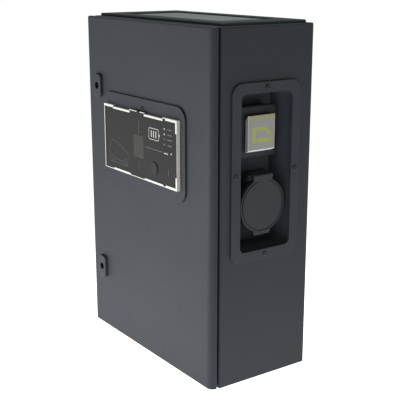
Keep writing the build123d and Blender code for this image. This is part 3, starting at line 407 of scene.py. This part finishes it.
# Print on the control panel, measured from the middle of its face
panelPrint = {
    "ink": 0.05, "thinLine": 0.9,
    "battery": ((32.5, 63.0), (16.6, 35.6)), "batteryCorner": 2.5, "batteryLine": 1.4,
    "batteryBars": (40.5, 47.5, 54.5), "barSize": (3.2, 11.5),
    "pole": (0.8, 3.4), "poleShoulder": 7.0, "poleCorner": 0.8,
    "modeDash": ((79.5, -1.0), (91.0, -1.0)), "modeLine": 2.2, "modeDot": ((101.0, 0.8), 1.8),
    "dashRows": (40.0, 31.0, 23.0, 13.5), "dashSpan": (90.0, 103.0), "dashLine": 1.5,
    "divider": ((19.5, 73.5), 0.0), "upright": (-1.0, (19.0, 43.5)), "tick": (92.5, (-38.0, -27.0)),
    "windowX": (-18.5, 14.5), "windowZ": (-22.5, 16.5), "windowCorner": 1.0, "windowFoot": (-42.0, -27.0),
    "carAt": (-97.5, -45.0), "carLine": 1.0, "wheels": (2.0, 52.0), "wheelRadius": 5.0, "axleRise": 6.0,
    "sillGap": 1.0, "road": (-3.0, 60.0),
    "roof": ((-8, 3), (-7, 14), (-5, 26), (1, 36.5), (8, 40), (25, 35.7), (40.5, 31), (53, 25), (61, 18),
             (64, 9)),
}
panelLow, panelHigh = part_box("hmi_panel")
panelCorner = Vector(((panelLow.x + panelHigh.x) / 2, panelLow.y, (panelLow.z + panelHigh.z) / 2))


def palePrint():  # battery sign, and the dash and dot at the right
    look = panelPrint
    ink = look["ink"]
    bm = bmesh.new()
    u, v = look["battery"]
    addRibbon(bm, roundedBar(u, v, look["batteryCorner"]), look["batteryLine"], ink, True)
    pole = [u[1] + reach for reach in look["pole"]]
    shoulder = (v[0] + look["poleShoulder"], v[1] - look["poleShoulder"])
    addPlate(bm, roundedBar(pole, shoulder, look["poleCorner"]), ink)
    width, tall = look["barSize"]
    centre = (v[0] + v[1]) / 2
    for middle in look["batteryBars"]:
        across = (middle - width / 2, middle + width / 2)
        addPlate(bm, roundedBar(across, (centre - tall / 2, centre + tall / 2)), ink)
    addRibbon(bm, look["modeDash"], look["modeLine"], ink)
    addPlate(bm, circle(*look["modeDot"]), ink)
    return finishPiece(bm, "panelBatteryPrint", screenInk("paleScreenInk", "#9b9c99", "#a8a9a5"),
                       "front", panelCorner)


def greyPrint():  # short dashes beside the lights, and the thin dividing lines
    look = panelPrint
    ink = look["ink"]
    bm = bmesh.new()
    first, last = look["dashSpan"]
    for row in look["dashRows"]:
        addRibbon(bm, [(first, row), (last, row)], look["dashLine"], ink)
    span, level = look["divider"]
    addRibbon(bm, [(span[0], level), (span[1], level)], look["thinLine"], ink)
    for across, span in (look["upright"], look["tick"]):
        addRibbon(bm, [(across, span[0]), (across, span[1])], look["thinLine"], ink)
    return finishPiece(bm, "panelLinePrint", screenInk("greyScreenInk", "#5d5d58", "#686862"),
                       "front", panelCorner)


def windowPrint():  # dim window in the middle of the panel
    look = panelPrint
    bm = bmesh.new()
    addPlate(bm, roundedBar(look["windowX"], look["windowZ"], look["windowCorner"]), look["ink"])
    return finishPiece(bm, "panelWindowPrint", screenInk("dimScreenInk", "#2e2e2d", "#31312f"),
                       "front", panelCorner)


def carPrint():  # plain outline of a car, and the line under the window
    look = panelPrint
    width, ink = look["carLine"], look["ink"]
    left, base = look["carAt"]
    axle = base + look["axleRise"]
    bm = bmesh.new()
    addRibbon(bm, curveThrough([(left + x, base + z) for x, z in look["roof"]]), width, ink)
    for x in look["wheels"]:
        addRibbon(bm, circle((left + x, axle), look["wheelRadius"]), width, ink, True)
    rear, front = look["wheels"]
    clear = look["wheelRadius"] + look["sillGap"]
    addRibbon(bm, [(left + rear + clear, axle), (left + front - clear, axle)], width, ink)
    addRibbon(bm, [(left + end, base) for end in look["road"]], width, ink)
    addRibbon(bm, [(look["upright"][0], end) for end in look["windowFoot"]], width, ink)
    return finishPiece(bm, "panelCarPrint", screenInk("faintScreenInk", "#41413e", "#474743"),
                       "front", panelCorner)


for piece in (palePrint(), greyPrint(), windowPrint(), carPrint()):
    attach(piece, "door_leaf")
print("panel printed")


# Pale frame round the panel, measured from the middle of its face: thin wall, ledge, clips and corner lips
panelFrame = {"wall": 1.2, "rightWall": 0.5, "ledge": 5.8, "ledgeTall": 2.4, "lip": 4.0, "lipThick": 1.0,
              "lipLength": 34.0, "lipHeight": 22.0, "clips": ((-87.5, -29.5), (18.5, 76.5)), "clipWidth": 3.4,
              "clipWall": 1.6, "stub": 3.0, "relief": 2.5, "notch": (-5.7, 5.3), "foil": 0.1, "foilLap": 2.0,
              "fit": 0.1}
frameLow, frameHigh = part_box("hmi_frame")
frameCorner = Vector(((frameLow.x + frameHigh.x) / 2, frameHigh.y, (frameLow.z + frameHigh.z) / 2))
halfU, halfV = (frameHigh.x - frameLow.x) / 2 / mm, (frameHigh.z - frameLow.z) / 2 / mm
frameTall = (frameHigh.y - frameLow.y) / mm
clipTop = halfV - panelFrame["relief"]


def headSpans(left, right):  # stretches of the frame's head between the clips and the notch
    look = panelFrame
    first, second = look["clips"]
    return ((left, first[0]), (first[1], look["notch"][0]), (look["notch"][1], second[0]), (second[1], right))


def mouldedFrame():
    look = panelFrame
    wall, lip, thick, ledge = look["wall"], look["lip"], look["lipThick"], look["ledge"]
    left, right, foot, head = -halfU + wall, halfU - look["rightWall"], -halfV + wall, halfV - wall
    clipFoot, lipBase = clipTop - look["clipWall"], frameTall - thick
    bm = bmesh.new()
    for u in ((-halfU, left), (right, halfU)):
        addPlate(bm, roundedBar(u, (-halfV, halfV)), frameTall)
    addPlate(bm, roundedBar((left, right), (-halfV, foot)), frameTall)
    outerLeft, innerLeft, innerRight, outerRight = headSpans(left, right)
    for span in (outerLeft, outerRight):
        addPlate(bm, roundedBar(span, (head, halfV)), frameTall)
    for span in (innerLeft, innerRight):  # shallow beside the notch
        addPlate(bm, roundedBar(span, (head, halfV)), look["stub"], frameTall - look["stub"])
    for span in look["clips"]:
        addPlate(bm, roundedBar(span, (clipFoot, clipTop)), frameTall)
        addPlate(bm, roundedBar(span, (clipTop - look["clipWidth"], clipFoot)), thick, lipBase)
        addPlate(bm, roundedBar(span, (foot, -halfV + look["clipWidth"])), thick, lipBase)
    addPlate(bm, roundedBar((left, -halfU + look["lipLength"]), (halfV - lip, head)), thick, lipBase)
    near, low = halfU - look["lipLength"], halfV - look["lipHeight"]
    bend = [(near, halfV - lip), (halfU - lip, halfV - lip), (halfU - lip, low), (right, low), (right, head),
            (near, head)]
    for side in (1, -1):  # the two right-hand corners
        addPlate(bm, [(u, side * v) for u, v in bend[::side]], thick, lipBase)
    inner = (left + ledge, right - ledge)  # the ledge runs round inside, half as wide along the head
    for u, v in (((left, inner[0]), (foot, clipFoot)), ((inner[1], right), (foot, clipFoot)),
                 (inner, (foot, foot + ledge)), (inner, (clipFoot - ledge / 2, clipFoot))):
        addPlate(bm, roundedBar(u, v), look["ledgeTall"])
    return finishPiece(bm, "panelFrame", finishes["panel_pale"], "front", frameCorner)


def foilRim():  # edge of the front foil, lapping from the panel out to the frame
    look = panelFrame
    u = (panelHigh.x - panelLow.x) / 2 / mm - look["foilLap"]
    v = (panelHigh.z - panelLow.z) / 2 / mm - look["foilLap"]
    left, right = -halfU + look["wall"] + look["fit"], halfU - look["rightWall"] - look["fit"]
    foot, head = -halfV + look["wall"] + look["fit"], halfV - look["wall"] - look["fit"]
    bm = bmesh.new()
    addPlate(bm, roundedBar((left, -u), (foot, v)), look["foil"])
    addPlate(bm, roundedBar((u, right), (foot, v)), look["foil"])
    addPlate(bm, roundedBar((-u, u), (foot, -v)), look["foil"])
    for span in headSpans(left, right):
        addPlate(bm, roundedBar(span, (v, head)), look["foil"])
    for span in look["clips"]:
        addPlate(bm, roundedBar(span, (v, clipTop - look["clipWall"] - look["fit"])), look["foil"])
    addPlate(bm, roundedBar(look["notch"], (v, halfV)), look["foil"])
    return finishPiece(bm, "panelFoilRim", finishes["panel_dark"], "front", panelCorner)


paleFrame = mouldedFrame()
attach(paleFrame, "door_leaf")
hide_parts("hmi_frame")
darkRim = foilRim()
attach(darkRim, "door_leaf")
print("panel framed")


# Lock escutcheons on the door: rounded plate with a softened edge, and a neck through the sheet
lockPlate = {"size": (25.0, 43.0), "corner": 8.0, "proud": 6.1, "edge": 1.6, "soft": 0.3, "hole": 6.7,
             "neck": 9.6, "neckLength": 20.0, "cornerSteps": 11}


def lockLoop(bm, centre, depth, inset=0.0, radius=None):  # points on the plate's outline or a circle in it
    look = lockPlate
    half = (look["size"][0] / 2 - inset, look["size"][1] / 2 - inset)
    shape = roundedBar((-half[0], half[0]), (-half[1], half[1]), look["corner"] - inset, look["cornerSteps"])
    if radius:
        shape = [(radius * u / math.hypot(u, v), radius * v / math.hypot(u, v)) for u, v in shape]
    return [bm.verts.new((centre[0] + u, centre[1] + v, depth)) for u, v in shape]


def lockEscutcheons():
    look = lockPlate
    back, proud, edge = -look["neckLength"], look["proud"], look["edge"]
    soft = edge * look["soft"]
    bm = bmesh.new()
    for name in ("lock_barrel_upper", "lock_barrel_lower"):
        low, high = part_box(name)
        centre = ((low.x + high.x) / 2 / mm, (low.z + high.z) / 2 / mm)
        start = lockLoop(bm, centre, back, radius=look["hole"])
        bridgeLoops(bm, [start, lockLoop(bm, centre, back, radius=look["neck"]),
                         lockLoop(bm, centre, 0.0, radius=look["neck"]), lockLoop(bm, centre, 0.0),
                         lockLoop(bm, centre, proud - edge), lockLoop(bm, centre, proud - soft, soft),
                         lockLoop(bm, centre, proud, edge), lockLoop(bm, centre, proud, radius=look["hole"]),
                         start])
    skin = Vector((0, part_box("door")[0].y, 0))
    return finishPiece(bm, "lockEscutcheons", finishes["lock_black"], "front", skin)


# Painted shade: a dead black ring on the face of each barrel, standing in for the shade in the keyway
keywayPaintedShade = {"outer": 6.3, "inner": 1.9, "thick": 0.2}


def keywayShadePaint():  # dead black paint with no shine: painted shade of the keyway
    return grainedFinish("keywayShadePaint", {"IOR": 1.1, "Specular IOR Level": 0.0},
                         ("#060607", "#0a0a0b"), drift=5.0, grain=1.0, height=0.01, rough=(0.7, 0.8))


def keywayShadeRing(name, lacquer):
    look = keywayPaintedShade
    low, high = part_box("lock_barrel_" + name)
    corner = Vector(((low.x + high.x) / 2, low.y, (low.z + high.z) / 2))
    bm = bmesh.new()
    section = ((look["inner"], 0.0), (look["outer"], 0.0), (look["outer"], look["thick"]),
               (look["inner"], look["thick"]))
    loops = [[bm.verts.new((u, v, depth)) for u, v in circle((0, 0), r)] for r, depth in section]
    bridgeLoops(bm, loops + loops[:1])
    shadeRing = finishPiece(bm, "keywayPaintedShade." + name, lacquer, "front", corner)
    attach(shadeRing, name + "_lock")


keywayShadeMaterial = keywayShadePaint()
keywayShadeRing("upper", keywayShadeMaterial)
keywayShadeRing("lower", keywayShadeMaterial)
lockPlates = lockEscutcheons()
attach(lockPlates, "door_leaf")
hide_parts("lock_housing_upper", "lock_housing_lower")
print("locks dressed")


# Cover of the socket lid, fitted over it: turned disc with a grooved rim, finger tab and hood over the hinge
lidCover = {"radius": 46.5, "rise": 2.4, "back": 0.3, "front": 10.7, "edge": 1.2, "rim": 3.2, "groove": 1.8,
            "grooveDepth": 1.5, "sides": 72,
            "tabWidth": 34.0, "tabDrop": 4.0, "tabReach": 0.7, "tabCorner": 3.0, "tabBack": 0.6,
            "tabSink": 1.0,
            "hoodWidth": 39.2, "hoodBack": 4.2, "hoodTop": 54.5, "hoodEdge": 1.5, "hoodSoft": 0.3,
            "hoodSink": 0.02}


def turnedLid():
    look = lidCover
    low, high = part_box("lid_seal")
    corner = Vector((high.x, (low.y + high.y) / 2, (low.z + high.z) / 2))
    radius, back, front, edge = look["radius"], look["back"], look["front"], look["edge"]
    floor = front - look["grooveDepth"]
    inside = radius - look["rim"]
    crown = inside - look["groove"]
    section = ((radius - edge, back), (radius, back + edge), (radius, front - edge), (radius - edge, front),
               (inside, front), (inside, floor), (crown, floor), (crown, front))
    bm = bmesh.new()
    loops = [[bm.verts.new((u, v, depth)) for u, v in circle((0, look["rise"]), r, look["sides"])]
             for r, depth in section]
    bridgeLoops(bm, loops)
    bm.faces.new(loops[0])
    bm.faces.new(loops[-1])
    tab = look["tabWidth"] / 2
    drop = (look["rise"] - radius - look["tabDrop"], -radius * look["tabReach"])
    addPlate(bm, roundedBar((-tab, tab), drop, look["tabCorner"]), floor - look["tabSink"], look["tabBack"])
    hood, top, face = look["hoodWidth"] / 2, look["hoodTop"], front - look["hoodSink"]
    edge, soft = look["hoodEdge"], look["hoodEdge"] * look["hoodSoft"]
    profile = ((look["hoodBack"], inside), (face, inside), (face, top - edge), (front - soft, top - soft),
               (front - edge, top), (look["hoodBack"], top))
    ends = [[bm.verts.new((u, v, depth)) for depth, v in profile] for u in (-hood, hood)]
    bridgeLoops(bm, ends)
    bm.faces.new(ends[0])
    bm.faces.new(ends[1])
    return finishPiece(bm, "lidCover", finishes["lid_grey"], "side", corner)


coverPiece = turnedLid()
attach(coverPiece, "socket_cover")
print("lid dressed")


# Reading head, measured from the middle of the reader's cover: it leans up out of it, on a dark neck
readerHead = {"size": (55.8, 58.4), "shift": 1.5, "proud": 10.0, "slopeHead": 9.0, "slopeFoot": 4.0,
              "slopeSide": -2.0, "edge": 0.8, "neckSize": (53.0, 56.0), "neckLength": 10.0, "neckSink": 0.1}
coverLow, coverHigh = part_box("reader_frame")
neckCorner = Vector((coverHigh.x, (coverLow.y + coverHigh.y) / 2, (coverLow.z + coverHigh.z) / 2))
headCorner = neckCorner + Vector((0, readerHead["shift"] * mm, 0))


def leaningHead():
    look = readerHead
    half, proud, edge = (look["size"][0] / 2, look["size"][1] / 2), look["proud"], look["edge"]
    bm = bmesh.new()
    loops = []
    for depth, inset in ((0.0, 0.0), (proud - edge, 0.0), (proud, edge)):
        lean = 1 - depth / proud
        left, right = -half[0] - look["slopeSide"] * lean + inset, half[0] - inset
        foot = -half[1] - look["slopeFoot"] * lean + inset
        head = half[1] - look["slopeHead"] * lean - inset
        loops.append([bm.verts.new((u, v, depth)) for u, v in roundedBar((left, right), (foot, head))])
    bridgeLoops(bm, loops)
    bm.faces.new(loops[0])
    bm.faces.new(loops[-1])
    return finishPiece(bm, "readerHead", finishes["reader_pale"], "side", headCorner)


def readerNeck():
    look = readerHead
    u, v = (size / 2 for size in look["neckSize"])
    bm = bmesh.new()
    addPlate(bm, roundedBar((-u, u), (-v, v)), look["neckLength"] - look["neckSink"], -look["neckLength"])
    return finishPiece(bm, "readerNeck", finishes["reader_dark"], "side", neckCorner)


headPiece = leaningHead()
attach(headPiece, "enclosure")
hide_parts("reader_insert")
neckPiece = readerNeck()
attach(neckPiece, "enclosure")
print("reading head set")


# Label on the reading face, measured from the middle of the face
readerLabel = {"left": 0.8, "right": 1.2, "foot": 1.0, "head": 0.8, "sheet": 0.15, "sheetCorner": 1.0,
               "strip": 5.5, "stripCorner": 0.6, "ink": 0.05, "inkCorner": 2.0,
               "bar": ((-20.0, -11.8), (-16.0, 9.5)), "band": ((-10.2, 22.0), (-16.0, -9.8)), "arcLine": 5.6,
               "arc": ((-10.2, 6.2), (0.0, 6.6), (10.5, 3.0), (17.5, -4.5))}
labelCorner = headCorner + Vector((readerHead["proud"] * mm, 0, 0))
printCorner = labelCorner + Vector((readerLabel["sheet"] * mm, 0, 0))
sheetU = (-readerHead["size"][0] / 2 + readerLabel["left"], readerHead["size"][0] / 2 - readerLabel["right"])
sheetV = (-readerHead["size"][1] / 2 + readerLabel["foot"], readerHead["size"][1] / 2 - readerLabel["head"])


def labelSheet():
    look = readerLabel
    bm = bmesh.new()
    addPlate(bm, roundedBar(sheetU, sheetV, look["sheetCorner"]), look["sheet"])
    return finishPiece(bm, "readerLabelSheet", screenInk("greyLabelFoil", "#90918b", "#9a9b95"),
                       "side", labelCorner)


def labelStrip():
    look = readerLabel
    bm = bmesh.new()
    addPlate(bm, roundedBar(sheetU, (sheetV[1] - look["strip"], sheetV[1]), look["stripCorner"]), look["ink"])
    return finishPiece(bm, "readerLabelStrip", screenInk("oliveScreenInk", "#95966a", "#9fa073"),
                       "side", printCorner)


def labelPrint():  # generic card sign
    look = readerLabel
    bm = bmesh.new()
    for bounds in (look["bar"], look["band"]):
        addPlate(bm, roundedBar(*bounds, look["inkCorner"]), look["ink"])
    addRibbon(bm, curveThrough(look["arc"]), look["arcLine"], look["ink"])
    return finishPiece(bm, "readerLabelPrint", screenInk("limeScreenInk", "#9fa55c", "#a9ae68"),
                       "side", printCorner)


for piece in (labelSheet(), labelStrip(), labelPrint()):
    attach(piece, "enclosure")
print("reader label set")


# Repeated small fasteners grown by geometry nodes on a mesh of points


def startTree(name, inputs):  # node group with a geometry in and out, and its named inputs
    tree = bpy.data.node_groups.new(name, "GeometryNodeTree")
    tree.interface.new_socket("Points", in_out="INPUT", socket_type="NodeSocketGeometry")
    tree.interface.new_socket("Pieces", in_out="OUTPUT", socket_type="NodeSocketGeometry")
    for label, kind in inputs.items():
        tree.interface.new_socket(label, in_out="INPUT", socket_type=kind)
    return tree, tree.nodes.new("NodeGroupInput").outputs


def endTree(tree, instances, given):  # plain mesh with its material
    real = addNode(tree, "GeometryNodeRealizeInstances", {}, {"Geometry": instances})
    dressed = addNode(tree, "GeometryNodeSetMaterial", {},
                      {"Geometry": real.outputs["Geometry"], "Material": given["Material"]})
    addNode(tree, "NodeGroupOutput", {}, {"Pieces": dressed.outputs["Geometry"]})
    return tree


def slottedScrewTree():  # round heads with a driver slot, each turned its own way
    tree, given = startTree("slottedScrews", {
        "Head Radius": "NodeSocketFloat", "Head Height": "NodeSocketFloat", "Slot Width": "NodeSocketFloat",
        "Turn": "NodeSocketRotation", "Material": "NodeSocketMaterial"})
    head = addNode(tree, "GeometryNodeMeshCylinder", {"Vertices": 20},
                   {"Radius": given["Head Radius"], "Depth": given["Head Height"]})
    length = addNode(tree, "ShaderNodeMath", {"operation": "MULTIPLY", 1: 3.0},  # past both sides of the head
                     {0: given["Head Radius"]})
    bar = addNode(tree, "ShaderNodeCombineXYZ", {},
                  {"X": length.outputs[0], "Y": given["Slot Width"], "Z": given["Head Height"]})
    cutter = addNode(tree, "GeometryNodeMeshCube", {}, {"Size": bar.outputs["Vector"]})
    above = addNode(tree, "ShaderNodeMath", {"operation": "MULTIPLY", 1: 0.6},  # leaves the slot a floor
                    {0: given["Head Height"]})
    lift = addNode(tree, "ShaderNodeCombineXYZ", {}, {"Z": above.outputs[0]})
    raised = addNode(tree, "GeometryNodeTransform", {},
                     {"Geometry": cutter.outputs["Mesh"], "Translation": lift.outputs["Vector"]})
    slotted = addNode(tree, "GeometryNodeMeshBoolean", {"operation": "DIFFERENCE"},
                      {"Mesh 1": head.outputs["Mesh"], "Mesh 2": raised.outputs["Geometry"]})
    placed = addNode(tree, "GeometryNodeInstanceOnPoints", {},
                     {"Points": given["Points"], "Rotation": given["Turn"],
                      "Instance": slotted.outputs["Mesh"]})
    # of the random node's sockets, input 3 is the largest number and output 1 the one drawn
    angle = addNode(tree, "FunctionNodeRandomValue", {"data_type": "FLOAT", 3: math.pi, "Seed": 4})
    spin = addNode(tree, "ShaderNodeCombineXYZ", {}, {"Z": angle.outputs[1]})
    turned = addNode(tree, "GeometryNodeRotateInstances", {"Local Space": True},
                     {"Instances": placed.outputs["Instances"], "Rotation": spin.outputs["Vector"]})
    return endTree(tree, turned.outputs["Instances"], given)


def studThreadTree():  # screw thread: a ridge wound round each stud
    tree, given = startTree("studThreads", {
        "Radius": "NodeSocketFloat", "Length": "NodeSocketFloat", "Turns": "NodeSocketFloat",
        "Ridge": "NodeSocketFloat", "Turn": "NodeSocketRotation", "Material": "NodeSocketMaterial"})
    helix = addNode(tree, "GeometryNodeCurveSpiral", {"Resolution": 24},
                    {"Rotations": given["Turns"], "Height": given["Length"],
                     "Start Radius": given["Radius"], "End Radius": given["Radius"]})
    ridge = addNode(tree, "GeometryNodeCurvePrimitiveCircle", {"Resolution": 4}, {"Radius": given["Ridge"]})
    thread = addNode(tree, "GeometryNodeCurveToMesh", {"Fill Caps": True},
                     {"Curve": helix.outputs["Curve"], "Profile Curve": ridge.outputs["Curve"]})
    placed = addNode(tree, "GeometryNodeInstanceOnPoints", {},
                     {"Points": given["Points"], "Rotation": given["Turn"],
                      "Instance": thread.outputs["Mesh"]})
    return endTree(tree, placed.outputs["Instances"], given)


def growOn(name, points, tree, values):  # run a tree on points and keep the result as a plain mesh
    mesh = bpy.data.meshes.new(name)
    mesh.from_pydata([tuple(p) for p in points], [], [])
    piece = bpy.data.objects.new(name, mesh)
    bpy.context.scene.collection.objects.link(piece)
    modifier = piece.modifiers.new(name, "NODES")
    modifier.node_group = tree
    items = tree.interface.items_tree
    sockets = {item.name: item.identifier for item in items if item.in_out == "INPUT"}
    for label, value in values.items():
        modifier[sockets[label]] = value
    shown = bpy.context.evaluated_depsgraph_get()
    grown = bpy.data.meshes.new_from_object(piece.evaluated_get(shown))
    piece.modifiers.clear()
    piece.data = grown
    return piece


# Terminal screws in the wells of the rail devices
deviceWells = {"rise": 32.75, "faceBack": 46.0, "wellDepth": 9.0, "headRadius": 2.6, "headHeight": 2.0,
               "slot": 0.8,
               "ways": {"residual_current_device": 4, "circuit_breaker": 4, "contactor": 4,
                        "charge_controller": 8, "energy_meter": 4, "power_supply": 2}}


def deviceScrewPoints():
    look = deviceWells
    sunk = (look["faceBack"] - look["wellDepth"] + look["headHeight"] / 2) * mm
    points = []
    for name, ways in look["ways"].items():
        low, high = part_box(name)
        for i in range(ways):
            across = low.x + (i + 0.5) * (high.x - low.x) / ways
            for side in (-1, 1):
                points.append((across, high.y - sunk, (low.z + high.z) / 2 + side * look["rise"] * mm))
    return points


outOfDoor = (math.pi / 2, 0.0, 0.0)  # turns a piece's own Z to point at the door


def slottedScrews(name, points, wells):
    return growOn(name, points, slottedScrewTree(), {
        "Head Radius": wells["headRadius"] * mm, "Head Height": wells["headHeight"] * mm,
        "Slot Width": wells["slot"] * mm, "Turn": outOfDoor, "Material": finishes["zinc_steel"]})


deviceScrews = slottedScrews("deviceScrews", deviceScrewPoints(), deviceWells)
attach(deviceScrews, "enclosure")
print("device screws", len(deviceScrews.data.polygons), "faces")

# Screws at the bottom of the wells of the feed-through terminals
terminalWells = {"ways": 14, "gap": 0.2, "rise": 8.0, "floorBack": 23.0, "headRadius": 1.7, "headHeight": 1.6,
                 "slot": 0.6}


def terminalScrewPoints():
    look = terminalWells
    low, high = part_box("terminal_blocks")
    pitch = (high.x - low.x + look["gap"] * mm) / look["ways"]
    depth = high.y - (look["floorBack"] + look["headHeight"] / 2) * mm
    return [(low.x + (i + 0.5) * pitch, depth, (low.z + high.z) / 2 + side * look["rise"] * mm)
            for i in range(look["ways"]) for side in (-1, 1)]


terminalScrews = slottedScrews("terminalScrews", terminalScrewPoints(), terminalWells)
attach(terminalScrews, "enclosure")
print("terminal screws", len(terminalScrews.data.polygons), "faces")

# Display pane of the meter, in the recess of its nose
meterPane = {"size": (53.0, 21.5), "corner": 1.0, "rise": 5.6, "recess": 1.5, "thick": 0.6}


def liquidCrystalPane():  # display glass: grey-green and glossy
    material, tree, shader, place = startMaterial("liquidCrystalPane", {"IOR": 1.5, "Roughness": 0.12})
    addTone(tree, shader, place, "#7f8b78", "#87937f", size=20.0)
    return material


def meterDisplay():
    look = meterPane
    low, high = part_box("energy_meter")
    middle = Vector(((low.x + high.x) / 2, low.y, (low.z + high.z) / 2))
    corner = middle + Vector((0, look["recess"] * mm, look["rise"] * mm))
    u, v = (size / 2 for size in look["size"])
    bm = bmesh.new()
    addPlate(bm, roundedBar((-u, u), (-v, v), look["corner"]), look["thick"])
    return finishPiece(bm, "meterDisplay", liquidCrystalPane(), "front", corner)


# Lenses of the controller's four lights, in the wells of its nose
controllerLights = {"count": 4, "step": 18.0, "rise": 15.0, "radius": 1.5, "sides": 16,
                    "well": 1.5, "tall": 1.8}


def greenAcrylic():  # tinted moulded lenses: clear green and glossy
    material, tree, shader, place = startMaterial("greenAcrylic", {"IOR": 1.49, "Roughness": 0.18})
    addTone(tree, shader, place, "#4d8a4f", "#5a9a5b", size=2.0)
    return material


def controllerLenses():
    look = controllerLights
    low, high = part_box("charge_controller")
    corner = Vector((low.x, low.y + look["well"] * mm, (low.z + high.z) / 2 + look["rise"] * mm))
    bm = bmesh.new()
    for i in range(look["count"]):
        addPlate(bm, circle((look["step"] * (i + 1), 0.0), look["radius"], look["sides"]), look["tall"])
    return finishPiece(bm, "controllerLenses", greenAcrylic(), "front", corner)


for piece in (meterDisplay(), controllerLenses()):
    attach(piece, "enclosure")
print("display and lenses set")

# Threads on the studs of the mounting plate
studThread = {"radius": 4.0, "pitch": 1.25, "ridge": 0.35, "exposed": 6.0, "inset": 7.0}


def studTips():
    low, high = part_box("plate_studs")
    inset = studThread["inset"] * mm
    return [(x, low.y + studThread["exposed"] * mm, z) for x in (low.x + inset, high.x - inset)
            for z in (low.z + inset, high.z - inset)]


studThreads = growOn("studThreads", studTips(), studThreadTree(), {
    "Radius": studThread["radius"] * mm, "Length": studThread["exposed"] * mm,
    "Turns": studThread["exposed"] / studThread["pitch"], "Ridge": studThread["ridge"] * mm,
    "Turn": outOfDoor, "Material": finishes["zinc_steel"]})
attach(studThreads, "enclosure")
print("stud threads", len(studThreads.data.polygons), "faces")


# Floor, light and camera
studio = {"floorSize": 30.0, "floorGlow": 0.75, "skyGlow": 0.287,
          "paintedPoolGlow": 0.95, "paintedPoolAt": (0.1, -0.3, -0.3), "paintedPoolReach": 1.1,
          "keyPower": 6.8, "keyAt": (-0.25, -1.15, -0.1), "keyAim": (-0.05, -0.2, -0.15), "keySize": 0.5,
          "topPower": 10.0, "topAt": (-0.05, -0.08, 1.6), "topAim": (-0.05, -0.08, 0.3), "topSize": 0.2}


def paleFloor():  # plain white paper sweep: matt, glowing as painted light, brightest in a painted pool of light round the box
    material, tree, shader, place = startMaterial("whiteSweepPaper",
                                                  {"Roughness": 0.9, "Specular IOR Level": 0.1})
    addTone(tree, shader, place, "#f4f4f4", "#f8f8f8", size=600.0)
    # painted light: the floor glows, most in a pool round the box, and so lights the box from below
    away = addNode(tree, "ShaderNodeVectorMath", {"operation": "DISTANCE", 1: studio["paintedPoolAt"]}, {0: place})
    glow = addNode(tree, "ShaderNodeMapRange",
                   {"interpolation_type": "SMOOTHSTEP", "From Max": studio["paintedPoolReach"],
                    "To Min": studio["floorGlow"] + studio["paintedPoolGlow"], "To Max": studio["floorGlow"]},
                   {"Value": away.outputs["Value"]})
    shader.inputs["Emission Color"].default_value = (1, 1, 1, 1)
    tree.links.new(glow.outputs["Result"], shader.inputs["Emission Strength"])
    half, level = studio["floorSize"] / 2, cadBox[0][2]
    mesh = bpy.data.meshes.new("floor")
    mesh.from_pydata([(x, y, level) for x, y in roundedBar((-half, half), (-half, half))], [], [(0, 1, 2, 3)])
    mesh.materials.append(material)
    floor = bpy.data.objects.new("floor", mesh)
    bpy.context.scene.collection.objects.link(floor)
    return floor


def softLight(name, power, at, aim, size):
    light = bpy.data.lights.new(name, "AREA")
    light.energy = power
    light.size = size
    lamp = bpy.data.objects.new(name, light)
    lamp.location = at
    lamp.rotation_euler = (Vector(aim) - Vector(at)).to_track_quat("-Z", "Y").to_euler()
    lamp.visible_camera = False
    bpy.context.scene.collection.objects.link(lamp)


def whiteSky():  # white where the camera sees it, softer as a light
    world = bpy.data.worlds.new("studioSky")
    world.use_nodes = True
    tree = world.node_tree
    tree.nodes.clear()
    white = {"Color": (1, 1, 1, 1)}
    seen = addNode(tree, "ShaderNodeBackground", {**white, "Strength": 1.0})
    lit = addNode(tree, "ShaderNodeBackground", {**white, "Strength": studio["skyGlow"]})
    ray = addNode(tree, "ShaderNodeLightPath")
    both = addNode(tree, "ShaderNodeMixShader", {},
                   {0: ray.outputs["Is Camera Ray"], 1: lit.outputs["Background"],
                    2: seen.outputs["Background"]})
    addNode(tree, "ShaderNodeOutputWorld", {}, {"Surface": both.outputs["Shader"]})
    bpy.context.scene.world = world


paleFloor()
softLight("keyLight", studio["keyPower"], studio["keyAt"], studio["keyAim"], studio["keySize"])
softLight("topLight", studio["topPower"], studio["topAt"], studio["topAim"], studio["topSize"])
whiteSky()
bpy.context.scene.view_settings.view_transform = "Standard"

# Camera, where the photograph was taken from
viewpoint = {"at": (1.28177, -0.98800, 0.38771), "bearing": -54.835, "rise": -14.885, "lens": 78.99,
             "sensor": 36.0}


def setCamera():
    bearing, rise = math.radians(viewpoint["bearing"]), math.radians(viewpoint["rise"])
    ahead = Vector((math.sin(bearing) * math.cos(rise), math.cos(bearing) * math.cos(rise), math.sin(rise)))
    camera = bpy.data.cameras.new("camera")
    camera.lens = viewpoint["lens"]
    camera.sensor_width = viewpoint["sensor"]
    holder = bpy.data.objects.new("camera", camera)
    holder.location = viewpoint["at"]
    holder.rotation_mode = "QUATERNION"
    holder.rotation_quaternion = ahead.to_track_quat("-Z", "Y")
    bpy.context.scene.collection.objects.link(holder)
    bpy.context.scene.camera = holder


setCamera()
print("stage set")
